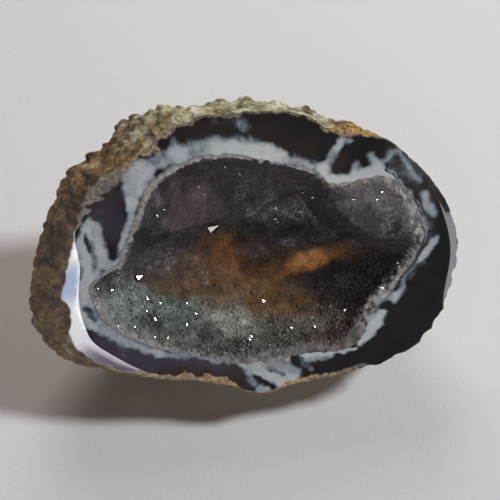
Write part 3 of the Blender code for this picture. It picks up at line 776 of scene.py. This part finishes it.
# How far the points have taken over the crust's edge, past the hollow's outline, in mm by the angle round it.
# They have notched it, and the opening ends a little below the face and inside the crust.
CRUST_OPEN = [(0, 1.2), (35, 1.1), (50, 0.2), (90, 0.1), (150, 0.1), (180, 0.2), (192, 0.6), (203, -0.2),
              (222, -0.2), (240, 0.2), (256, 1.0), (300, 1.25)]
OPEN_DIP = 0.08
OPEN_LIMITS = (-0.5, CRUST_WALL - 0.05)
RIM_NOTCH = 0.5
NOTCH_SIZE, FINE_NOTCH_SIZE = 0.9, 0.4
# The shelf's points start close under the face and slope down from it.
SHELF_TOP = 0.2
SHELF_FALL = 0.3
# Painted shade: the crust's colour between its points is darkened by this share.
SHADE_BETWEEN_POINTS = 0.8  # how light the crust is between its points

# The colours inside the hollow, where they show through its mouth, with painted light and shade in some of
# them. Each is a place and two radii in mm, a turn in degrees, a strength, a colour, and the size of the
# points there, where 1 is usual.
SIGHT = np.array([-0.1023, 0.2086])  # how far a sight line moves across the face for each mm that it rises
HOLLOW_COLOURS_LIGHT_AND_SHADE = [
    # The top, purple-grey, with a paler patch at the left and a dark one in the middle.
    (0.7, 11.0, 12.0, 2.2, 0, 1.0, "#5f575b", 0.75),
    (-9.0, 6.7, 3.0, 2.3, 10, 2.6, "#978992", 0.75),
    (-13.6, 4.8, 0.9, 2.2, 15, 3.0, "#3b3538", 0.75),
    (-0.8, 8.1, 2.8, 1.3, 0, 2.6, "#353032", 0.75),
    (-3.4, 4.6, 5.0, 2.4, 0, 1.2, "#4f484c", 0.75),
    (9.5, 7.0, 5.0, 2.6, -15, 1.0, "#544b4e", 0.75),
    (3.0, 2.4, 4.8, 1.8, 0, 4.0, "#1a1615", 0.75),
    (10.5, 3.8, 5.0, 2.4, -10, 2.6, "#241e1e", 0.75),
    (5.6, 6.6, 2.6, 1.4, 0, 1.4, "#4c4548", 0.75),
    (-11.8, 0.6, 4.0, 0.9, -5, 3.0, "#221d1e", 0.8),
    (-6.4, -1.0, 2.4, 1.4, 0, 2.4, "#7a5535", 0.8),
    (-15.8, -1.8, 2.6, 1.4, 0, 1.2, "#41383a", 0.8),
    (-10.6, -2.2, 3.0, 1.2, 0, 1.6, "#342a29", 0.8),
    # The bottom, rust-brown with two orange patches.
    (-6.8, -3.8, 4.0, 1.8, 0, 2.0, "#5c412b", 0.8),
    (-12.8, -4.6, 2.0, 1.2, 0, 1.8, "#403633", 0.8),
    (-12.0, -7.4, 2.2, 0.7, -14, 2.0, "#5f4a38", 0.95),
    (1.4, -0.3, 2.6, 1.2, 0, 1.8, "#573f2b", 0.8),
    (-7.0, -6.0, 4.5, 1.3, -10, 1.8, "#65482c", 0.85),
    (-2.9, -1.3, 1.8, 2.6, -10, 2.2, "#a2703b", 0.8),
    (-2.2, -4.8, 3.6, 1.6, 0, 1.6, "#674628", 0.8),
    (3.2, -2.0, 3.0, 2.2, 0, 1.4, "#47362b", 0.8),
    (10.8, -2.7, 4.0, 1.05, 17, 5.0, "#dfa25a", 0.8),
    (9.4, -2.7, 1.2, 0.6, 15, 3.0, "#f2ca92", 0.8),
    (5.6, -4.2, 2.2, 1.2, 25, 2.0, "#6f5036", 0.8),
    (-8.2, -7.6, 4.0, 0.9, -14, 2.4, "#654b31", 0.9),
    (-0.4, -8.9, 4.0, 0.9, -6, 2.0, "#68563e", 0.95),
    (5.2, -8.7, 4.6, 1.5, 8, 2.4, "#70502c", 0.9),
    (1.0, -8.0, 3.0, 1.6, 0, 1.6, "#6f5636", 0.95),
    (3.8, -10.2, 3.6, 0.9, 4, 2.0, "#6e5232", 0.95),
    # The right: dark crust, made near-black by painted shade under the hollow's right rim, with a
    # purple-brown patch in front.
    (17.0, -0.6, 5.0, 4.0, 0, 2.0, "#372e2b", 0.8),
    (20.2, -1.2, 2.6, 1.4, 0, 4.0, "#6a5853", 0.8),
    (15.2, 3.8, 3.2, 0.8, -52, 4.0, "#231e1f", 0.8),
    (21.6, 1.5, 3.0, 0.8, -8, 3.0, "#262122", 0.85),
    (13.8, -5.6, 5.5, 2.4, 18, 4.0, "#241c1a", 0.8),
    (21.5, -3.0, 3.0, 5.0, -20, 1.8, "#2b2625", 0.9),
    (16.0, 2.4, 2.2, 3.0, -30, 2.0, "#2c2726", 0.8),
    (15.6, -12.6, 3.4, 1.6, 20, 2.2, "#49352f", 1.0),
    # The front, grey-green, darker next to the face.
    (-20.2, -6.0, 2.0, 1.4, 0, 1.6, "#454a48", 1.1),
    (-17.6, -8.6, 2.6, 1.6, -10, 3.0, "#8f968e", 1.1),
    (-13.6, -8.6, 2.8, 1.4, -10, 2.0, "#78827a", 1.05),
    (-14.4, -11.2, 2.0, 1.0, 0, 1.6, "#4d534e", 1.1),
    (-19.2, -11.8, 3.0, 1.3, -35, 3.0, "#8d9493", 1.1),
    (-10.0, -11.0, 2.8, 1.4, -10, 1.8, "#66716a", 1.05),
    (-6.6, -9.8, 1.6, 1.0, 0, 1.6, "#82867a", 1.0),
    (-2.0, -11.8, 3.4, 2.0, -5, 2.6, "#9ba397", 1.05),
    (-5.0, -13.2, 2.0, 1.0, -10, 2.4, "#41423f", 1.05),
    (-10.5, -14.0, 3.6, 1.1, -12, 2.0, "#747570", 1.15),
    (-17.6, -14.2, 3.6, 0.9, -25, 4.0, "#9da3a5", 1.0),
    (-12.6, -16.0, 3.0, 0.7, -12, 4.0, "#9a9fa0", 1.0),
    (-3.5, -15.6, 6.0, 1.3, 0, 2.0, "#5a5a54", 1.15),
    (3.8, -12.4, 2.4, 2.0, 0, 1.6, "#5b5b52", 1.15),
    (11.4, -12.0, 3.4, 1.2, 0, 2.4, "#6d675e", 1.15),
    (-0.8, -13.2, 1.6, 0.8, 0, 2.0, "#92948a", 1.1),
    # The shelf at the upper right: pale crust, with painted light next to the face and painted shade further
    # in.
    (20.0, 6.6, 4.4, 2.0, -25, 4.0, "#878081", 0.85),
    (22.6, 4.4, 2.0, 2.2, -40, 2.4, "#6e6567", 0.9),
    (19.6, 3.6, 3.0, 1.6, -20, 2.0, "#4f4646", 0.85),
]
# The crust's colour between these, and how little it weighs against them.
PLAIN_CRUST, PLAIN_WEIGHT = "#4a4246", 1e-3
# How the colours' edges wander, in mm.
HUE_SIZE, HUE_WANDER = 2.4, 1.3
# The mottling, light and dark: a shift of its noise, its size in mm and its strength.
MOTTLES = [(29, 1.4, 0.5), (61, 0.6, 0.35)]
# How pale the points are next to the hollow's outline, by the angle round it. This reaches 1 mm in and 2.5 mm
# down, in patches, and the points are coarser there.
RIM_PALE = [(0, 1.0), (30, 1.0), (55, 0.5), (75, 0.2), (120, 0.2), (140, 0.6), (185, 0.6), (215, 0.6),
            (250, 0.4), (275, 0.4), (284, 0.2), (302, 0.3), (324, 0.3), (334, 1.0)]
RIM_COLOUR = "#cfcbc4"
RIM_REACH, RIM_DEPTH = 1.0, 2.5
PATCH_SIZE, PATCH_COVER, PATCH_CONTRAST = 0.9, 0.55, 1.4
RIM_COARSER = 0.65


def hollow_tint(places):
    """The crust's colour at each place, painted light and shade included, blended from those round it, and
    the size of its points.
    """
    wander = np.stack([smooth_noise(places + shift, HUE_SIZE) for shift in (51, 83)], axis=1) * HUE_WANDER
    seen = places[:, :2] - places[:, 2:] * SIGHT + wander
    total = np.full(len(places), PLAIN_WEIGHT)
    colour = np.outer(total, linear(PLAIN_CRUST)[:3])
    size = total.copy()
    for x, y, wide, high, tilt, strength, tone, coarse in HOLLOW_COLOURS_LIGHT_AND_SHADE:
        tilt = math.radians(tilt)
        along = (seen - (x, y)) @ (math.cos(tilt), math.sin(tilt)) / wide
        across = (seen - (x, y)) @ (-math.sin(tilt), math.cos(tilt)) / high
        weight = strength * np.exp(-(along**2) - across**2)
        total += weight
        size += weight * coarse
        colour += np.outer(weight, linear(tone)[:3])
    colour /= total[:, None]
    mottle = sum(strength * smooth_noise(places + shift, width) for shift, width, strength in MOTTLES)
    colour *= (1 + mottle)[:, None]
    arms = places[:, :2] - HOLLOW_AXIS
    angle = np.arctan2(arms[:, 1], arms[:, 0])
    inward = reach(rim_ring, angle) - np.hypot(*arms.T)
    pale = np.clip(1 - inward / RIM_REACH, 0, 1) * np.clip(1 + places[:, 2] / RIM_DEPTH, 0, 1)
    pale *= by_angle(RIM_PALE, angle)
    pale *= np.clip(PATCH_COVER + PATCH_CONTRAST * smooth_noise(places + 17, PATCH_SIZE), 0, 1)
    colour += (np.array(linear(RIM_COLOUR)[:3]) - colour) * pale[:, None]
    return np.clip(colour, 0, 1), size / total + pale * RIM_COARSER


# Quartz: clear crystal, milky inside. The faces of some points are as smooth as glass, and others are etched.
# The bed that the points stand on is frosted by finer ones.
crystal_quartz, tree = new_material("crystal_quartz")
tint = add(tree, "Attribute", attribute_name="tint", output="Vector")
etched = add(tree, "Attribute", attribute_name="etched", output="Fac")
shader = add(tree, "BsdfPrincipled", {"Base Color": tint, "Roughness": etched, "IOR": 1.544,
                                      "Transmission Weight": 0.15, "Specular IOR Level": 0.36})
add(tree, "OutputMaterial", {"Surface": shader})
frosted_quartz, tree = new_material("frosted_quartz")
tint = add(tree, "Attribute", attribute_name="tint", output="Vector")
shader = add(tree, "BsdfPrincipled", {"Base Color": tint, "Roughness": 0.5, "IOR": 1.544,
                                      "Specular IOR Level": 0.36})
add(tree, "OutputMaterial", {"Surface": shader})

# The crust's inner side, with its shelf, its swells and its notched edge.
directions, wall_faces = half_ball(WALL_POINTS, RING)
wall_places = hollow_surface(directions)
arms = wall_places[:, :2] - HOLLOW_AXIS
inward = reach(rim_ring, np.arctan2(arms[:, 1], arms[:, 0])) - np.hypot(*arms.T)
ramp = np.maximum(wall_places[:, 2], -(SHELF_TOP + inward * SHELF_FALL))
wall_places[:, 2] += (ramp - wall_places[:, 2]) * (1 - past_shelf(wall_places[:, :2], 0))
swell = sum(smooth_noise(wall_places + 90, size) * height for size, height in SWELLS)
dip = np.arcsin(np.clip(-directions[:, 2], 0, 1))
wall_places -= directions * SWELL_SHARES * (swell * np.minimum(dip / EDGE_FADE, 1))[:, None]
angle = np.arctan2(directions[:, 1], directions[:, 0])
sideways = np.stack([np.cos(angle), np.sin(angle)], axis=1)
notches = smooth_noise(wall_places, NOTCH_SIZE) + 0.6 * smooth_noise(wall_places + 30, FINE_NOTCH_SIZE)
opening = np.clip(by_angle(CRUST_OPEN, angle) + notches * RIM_NOTCH, *OPEN_LIMITS)
wall_places[:, :2] += sideways * (opening * np.clip(1 - dip / OPEN_DIP, 0, 1))[:, None]

# Its outer side, which lies in the stone's bed, and the edge between the two, which is level with the face.
outer_rings, outer_pole = bowl_rows(BED_ROWS, CRUST_WALL)
hollow_edge = wall_places[:RING]
rim_rings = [hollow_edge + (bed_rim - hollow_edge) * row / RIM_ROWS for row in range(1, RIM_ROWS + 1)]
crust_places = np.concatenate([wall_places, outer_pole, *outer_rings, *rim_rings])
pole = len(wall_places)
ring_indices = [np.arange(RING) + pole + 1 + row * RING for row in range(len(outer_rings) + RIM_ROWS)]
outer_indices = ring_indices[:len(outer_rings)] + [ring_indices[-1]]
rim_indices = [np.arange(RING)] + ring_indices[len(outer_rings):]
outer_bands = [band_faces(inner, outer)[:, ::-1] for inner, outer in zip(outer_indices, outer_indices[1:])]
rim_bands = [band_faces(inner, outer) for inner, outer in zip(rim_indices, rim_indices[1:])]
pole_fan = np.stack([np.full(RING, pole), np.roll(outer_indices[0], -1), outer_indices[0]], axis=1)
crust = add_piece(
    "druzy_crust_wall", crust_places,
    [[wall_faces[:, ::-1], pole_fan, *outer_bands], rim_bands],
    [frosted_quartz, polished_agate],
)
crease(crust, np.arange(RING))
crease(crust, ring_indices[-1])
mark_face(crust, crust_places)
# The crust between the points: the hollow's colours, with their painted light and shade, darkened as painted
# shade between the points.
store(crust, "tint", hollow_tint(crust_places)[0] * SHADE_BETWEEN_POINTS)
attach(crust, "root")
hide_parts("druzy_crust")

# The points: the ends of the crust's quartz crystals, about 0.35 mm wide, with six faces that meet in a tip.
# Each is a six-sided pyramid with a root that is sunk in the crust, as it grew there. They are made in two
# objects, left and right of the middle of the hollow.
CRYSTALS = 32000
CRYSTAL_SEED = 7
CRYSTAL_RADIUS = 0.17  # in mm, where their size is the usual one
CRYSTAL_SPREAD = 0.3
CRYSTAL_LEAN = 0.35
CRYSTAL_SHADES = (0.86, 1.14)
# As shares of a point's radius: its height, how far its foot stands out and its tip strays, and its root.
CRYSTAL_STEEPNESS = (0.5, 1.2)
CRYSTAL_LIFT = (-0.2, 0.5)
CRYSTAL_STRAY = 0.18
CRYSTAL_ROOT = 1.2
# The roughness of a point's faces: etched ones on fine and on coarse points, and clean ones. Clean ones are
# rare on fine points, and there are up to 45 % of them where the points are coarse.
FINE_POINT = 0.95
FINE_ETCHED, COARSE_ETCHED, CLEAN = 0.68, 0.42, 0.1
CLEAN_SHARE = (0.006, 0.45)


def unit(vectors):
    """The vectors, each made one long."""
    return vectors / np.maximum(np.linalg.norm(vectors, axis=-1, keepdims=True), 1e-12)


def grow_points(name, seats, axis, side, radius, height, lift, stray, tint, etched):
    """One object of six-sided points, all closed, with a tip above each seat and a root below it."""
    other = np.cross(axis, side)
    count = len(seats)
    points = np.empty((count, 8, 3))
    for corner in range(6):
        turn = math.tau * corner / 6
        arm = (side * math.cos(turn) + other * math.sin(turn)) * radius[:, None]
        points[:, corner] = seats + axis * lift[:, None] + arm
    points[:, 6] = seats + axis * (lift + height)[:, None] + side * stray[:, :1] + other * stray[:, 1:]
    points[:, 7] = seats - axis * (radius * CRYSTAL_ROOT)[:, None]
    around = np.arange(6)
    crystal = np.concatenate([
        np.stack([around, np.roll(around, -1), np.full(6, 6)], axis=1),
        np.stack([np.roll(around, -1), around, np.full(6, 7)], axis=1),
    ])
    faces = (np.arange(count)[:, None, None] * 8 + crystal).reshape(-1, 3)
    places = points.reshape(-1, 3)
    # The saw took off all that stood out of the face.
    places[:, 2] = np.minimum(places[:, 2], -0.01)
    grown = add_piece(name, places, [[faces]], [crystal_quartz], smooth=False)
    store(grown, "tint", np.repeat(tint, 8, axis=0))
    store(grown, "etched", np.repeat(etched, 8))
    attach(grown, "root")
    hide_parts("druzy_crust")


draw = np.random.default_rng(CRYSTAL_SEED)
corners = wall_places[wall_faces]
wall_out = np.cross(corners[:, 2] - corners[:, 0], corners[:, 1] - corners[:, 0])
area = np.linalg.norm(wall_out, axis=1)
coarse = hollow_tint(corners.mean(axis=1))[1]
chance = area / coarse**2
chosen = draw.choice(len(wall_faces), CRYSTALS, p=chance / chance.sum())
share = draw.random((CRYSTALS, 3))
share /= share.sum(axis=1)[:, None]
seats = (corners[chosen] * share[:, :, None]).sum(axis=1)
# Each point takes the crust's colour at its seat, painted light and shade included.
tint, coarse = hollow_tint(seats)
tint = np.clip(tint * draw.uniform(*CRYSTAL_SHADES, (CRYSTALS, 1)), 0, 1)
axis = unit(wall_out[chosen] / area[chosen][:, None] + draw.normal(0, CRYSTAL_LEAN, (CRYSTALS, 3)))
side = unit(np.cross(axis, draw.normal(0, 1, (CRYSTALS, 3))))
radius = CRYSTAL_RADIUS * coarse * np.exp(draw.normal(0, CRYSTAL_SPREAD, CRYSTALS))
flatter = np.clip(coarse * 1.6 - 0.6, 0.5, 1)  # fine points are flatter
height = radius * draw.uniform(*CRYSTAL_STEEPNESS, CRYSTALS) * flatter
lift = radius * draw.uniform(*CRYSTAL_LIFT, CRYSTALS)
stray = draw.normal(0, CRYSTAL_STRAY, (CRYSTALS, 2)) * radius[:, None]
clean = draw.random(CRYSTALS) < np.clip((coarse - 0.93) * 1.1, *CLEAN_SHARE)
etched = np.where(clean, CLEAN, np.where(coarse < FINE_POINT, FINE_ETCHED, COARSE_ETCHED))
at_left = seats[:, 0] < np.median(seats[:, 0])
for name, half in (("druzy_points_left", at_left), ("druzy_points_right", ~at_left)):
    grow_points(name, seats[half], axis[half], side[half], radius[half], height[half], lift[half],
                stray[half], tint[half], etched[half])

# The sparkles: larger points of the same quartz, which grew among the fine ones. They happen to stand so that
# one of their faces mirrors a lamp to the eye, so the places of the eye and of the lamps are given here.
CAMERA_RISE = math.radians(55)
CAMERA_GAP = 0.220
AIM_RIGHT, AIM_DOWN = 0.000735, 0.000823
camera_back = np.array([0, -math.cos(CAMERA_RISE), math.sin(CAMERA_RISE)])
camera_right = np.array([1.0, 0.0, 0.0])
camera_up = np.cross(camera_back, camera_right)
camera_aim = FACE_MIDDLE * MM + camera_right * AIM_RIGHT - camera_up * AIM_DOWN
camera_place = camera_aim + camera_back * CAMERA_GAP
KEY_DIRECTION = np.array([1.05, 0.1, 1.0])
KEY_GAP = 0.75
WINDOW_DIRECTION = np.array([-0.382, -0.858, 0.342])
WINDOW_GAP = 0.8
key_place = FACE_MIDDLE * MM + unit(KEY_DIRECTION) * KEY_GAP
window_place = FACE_MIDDLE * MM + unit(WINDOW_DIRECTION) * WINDOW_GAP
# Where each sparkle shows through the hollow's mouth, and the radius of its point, in mm.
SPARKLES = [
    (-5.0, 2.3, 0.95), (-16.1, -4.8, 0.7), (-2.8, 11.5, 0.22), (-6.7, 8.7, 0.26), (-6.1, 7.6, 0.22),
    (-7.4, 7.6, 0.2), (-11.7, 5.5, 0.3), (-12.9, 4.6, 0.2), (-0.7, 10.5, 0.2), (-9.2, 10.5, 0.18),
    (-14.6, -7.8, 0.36), (-12.5, -8.5, 0.28), (-21.7, -6.1, 0.22), (-14.7, -9.9, 0.22), (-13.7, -10.9, 0.32),
    (-13.4, -11.4, 0.28), (-7.1, -10.4, 0.28), (-8.6, -12.0, 0.28), (-18.9, -12.0, 0.28),
    (-16.3, -12.3, 0.22), (-17.8, -13.8, 0.24), (-13.4, -13.8, 0.2), (-11.6, -14.1, 0.22), (0.7, -14.7, 0.4),
    (0.9, -14.0, 0.3), (-8.8, -8.9, 0.2), (4.5, 5.3, 0.32), (4.6, 3.8, 0.3), (5.0, 3.4, 0.2),
    (10.2, 7.0, 0.25), (9.2, 10.8, 0.2), (8.2, 4.9, 0.2), (8.5, 7.5, 0.18), (17.8, 8.0, 0.2),
    (20.2, 7.5, 0.25), (15.9, 6.4, 0.2), (19.5, 6.3, 0.2), (2.7, -8.8, 0.45), (15.0, -10.2, 0.3),
    (7.0, -12.9, 0.25), (10.5, -12.9, 0.3),
]
# As shares of a sparkling point's radius: its height, that of the largest, and how far its foot stands out.
SPARKLE_STEEPNESS, LARGEST_STEEPNESS, SPARKLE_LIFT = 1.1, 1.6, 0.3
LARGEST_RADIUS = 0.9
SPARKLE_ROUGHNESS = 0.06
# The key lamp's light has to clear the hollow's outline by this many mm, or the point mirrors the window.
LIGHT_CLEARANCE = 0.5


def to_face(place):
    """A place in the part's frame in metres as a place in the face's frame in mm."""
    return face_axes @ (place / MM - FACE_MIDDLE)


eye, key_seen, window_seen = to_face(camera_place), to_face(key_place), to_face(window_place)
wall_normals = np.zeros_like(wall_places)
for corner in range(3):
    np.add.at(wall_normals, wall_faces[:, corner], wall_out)
wall_normals = unit(wall_normals)
radius = np.array([size for _, _, size in SPARKLES])
height = radius * np.where(radius > LARGEST_RADIUS, LARGEST_STEEPNESS, SPARKLE_STEEPNESS)
slope = np.arctan(height / (radius * math.cos(math.pi / 6)))
seats, axis, side = [], [], []
for (x, y, _), tilt in zip(SPARKLES, slope):
    sight = unit(np.array([x, y, 0]) - eye)
    nearest = np.argmin(np.linalg.norm(np.cross(wall_places - eye, sight), axis=1))
    seat = wall_places[nearest]
    leaving = seat + (key_seen - seat) * -seat[2] / (key_seen[2] - seat[2])
    arm = leaving[:2] - HOLLOW_AXIS
    lit = np.hypot(*arm) < reach(rim_ring, math.atan2(arm[1], arm[0])) - LIGHT_CLEARANCE
    lamp = key_seen if lit else window_seen
    # The face that mirrors the lamp looks halfway between it and the eye, and slopes down to the crust.
    facet = unit(unit(eye - seat) + unit(lamp - seat))
    downhill = unit(facet * (wall_normals[nearest] @ facet) - wall_normals[nearest])
    axis.append(facet * math.cos(tilt) - downhill * math.sin(tilt))
    outward = facet * math.sin(tilt) + downhill * math.cos(tilt)
    side.append(outward * math.cos(math.pi / 6) - np.cross(axis[-1], outward) * math.sin(math.pi / 6))
    seats.append(seat)
seats, axis, side = np.array(seats), np.array(axis), np.array(side)
grow_points("druzy_sparkles", seats, axis, side, radius, height, radius * SPARKLE_LIFT,
            np.zeros((len(seats), 2)), hollow_tint(seats)[0], np.full(len(seats), SPARKLE_ROUGHNESS))

# The floor: a plain pale sheet of matt plastic, moulded with a fine grain half a millimetre wide. The stone
# lies on it unheld, and it isn't part of the object.
sheet_white, tree = new_material("sheet_white")
where = add(tree, "TexCoord", output="Object")
grain = add(tree, "TexNoise", {"Vector": where, "Scale": 1 / (0.5 * MM), "Detail": 3.0})
relief = add(tree, "Bump", {"Height": grain, "Strength": 0.8, "Distance": 0.07 * MM})
shader = add(tree, "BsdfPrincipled", {"Base Color": linear("#e4e5e5"), "Roughness": 0.7, "Normal": relief})
add(tree, "OutputMaterial", {"Surface": shader})
bpy.ops.mesh.primitive_plane_add(size=1.6, location=(0, 0, 0))
floor = bpy.context.object
floor.name = "floor"
floor.data.materials.append(sheet_white)

# The camera looks down on the stone from in front, through a long lens.
camera = bpy.data.objects.new("camera", bpy.data.cameras.new("camera"))
bpy.context.scene.collection.objects.link(camera)
camera.matrix_world = Matrix.Translation(camera_place) @ Matrix(
    (camera_right, camera_up, camera_back)).transposed().to_4x4()
camera.data.lens = 107.8
camera.data.clip_start = 0.01
bpy.context.scene.camera = camera


def add_lamp(name, direction, gap, wide, high, power, colour, in_gloss_only=False):
    """An area light that faces the stone from this direction and distance. With no height it is a disk."""
    lamp = bpy.data.lights.new(name, "AREA")
    lamp.shape = "RECTANGLE" if high else "DISK"
    lamp.size = wide
    if high:
        lamp.size_y = high
    lamp.energy = power
    lamp.color = linear(colour)[:3]
    made = bpy.data.objects.new(name, lamp)
    bpy.context.scene.collection.objects.link(made)
    back = Vector(direction).normalized()
    made.location = Vector(FACE_MIDDLE * MM) + back * gap
    made.rotation_euler = back.to_track_quat("Z", "Y").to_euler()
    made.visible_diffuse = not in_gloss_only
    made.visible_camera = False
    return made


def toward(azimuth, rise):
    """The direction at this many degrees round from +X towards +Y, and this many above the horizon."""
    azimuth, rise = math.radians(azimuth), math.radians(rise)
    return math.cos(azimuth) * math.cos(rise), math.sin(azimuth) * math.cos(rise), math.sin(rise)


add_lamp("key", KEY_DIRECTION, KEY_GAP, 0.12, 0, 4.2, "#f7fbff")
add_lamp("back_window", toward(99, 36), 0.6, 0.36, 0, 1.48, "#fff0ea")
add_lamp("front_fill", toward(-115, 44), 0.6, 0.25, 0, 0.15, "#ffe2d4")
# The windows, which show only in what mirrors them: one at the right, and a tall one at the left, which leans
# back. It is blue at its top and white below that, and it fades out in pinkish grey at its foot.
add_lamp("right_window", toward(-32, 14), WINDOW_GAP, 0.25, 0.43, 1.9, "#e8e4ee", in_gloss_only=True)
window_top = Vector(toward(-122, 44)) * WINDOW_GAP
window_foot = Vector(toward(-96, -4)) * WINDOW_GAP
upward = (window_top - window_foot).normalized()
window_middle = (window_top + window_foot) / 2
left_window = add_lamp("left_window", window_middle, window_middle.length, 0.26,
                       (window_top - window_foot).length, 9.0, "#ffffff", in_gloss_only=True)
back = (window_middle - upward * window_middle.dot(upward)).normalized()
left_window.rotation_euler = Matrix((upward.cross(back), upward, back)).transposed().to_euler()
left_window.data.use_nodes = True
tree = left_window.data.node_tree
tree.nodes.clear()
across_window = add(tree, "NewGeometry", output="Parametric")
height_in_window = add(tree, "SeparateXYZ", {0: across_window}, output="Y")
glow = add(tree, "ValToRGB", {"Fac": height_in_window}, stops=[
    (0.02, "#000000"), (0.12, "#6a6070"), (0.22, "#c0b6c4"), (0.36, "#f0ecf4"), (0.6, "#ffffff"),
    (0.62, "#f4f5fb"), (0.655, "#d2daee"), (0.7, "#bac8e4"), (1.0, "#bac8e4"),
])
glow = add(tree, "Emission", {"Color": glow})
add(tree, "OutputLight", {"Surface": glow})

# A spot of light from beside the camera, such as a small mirror throws, lights the hollow.
mirror = bpy.data.lights.new("mirror", "SPOT")
mirror.energy = 1.8
mirror.color = linear("#fff0e0")[:3]
mirror.spot_size = math.radians(6)
mirror.spot_blend = 1.0
mirror.shadow_soft_size = 0.01
mirrored = bpy.data.objects.new("mirror", mirror)
bpy.context.scene.collection.objects.link(mirrored)
hollow_middle = Vector((FACE_MIDDLE + np.array([3.0, -1.0, 0.0]) @ face_axes) * MM)
back = Vector(toward(-95, 58)).normalized()
mirrored.location = hollow_middle + back * 0.35
mirrored.rotation_euler = back.to_track_quat("Z", "Y").to_euler()
mirrored.visible_glossy = False

# The faint warm light of the room itself.
world = bpy.data.worlds.new("soft_room")
bpy.context.scene.world = world
world.use_nodes = True
world.node_tree.nodes["Background"].inputs["Color"].default_value = linear("#e2cacc")
world.node_tree.nodes["Background"].inputs["Strength"].default_value = 0.055
bpy.context.scene.view_settings.view_transform = "Standard"
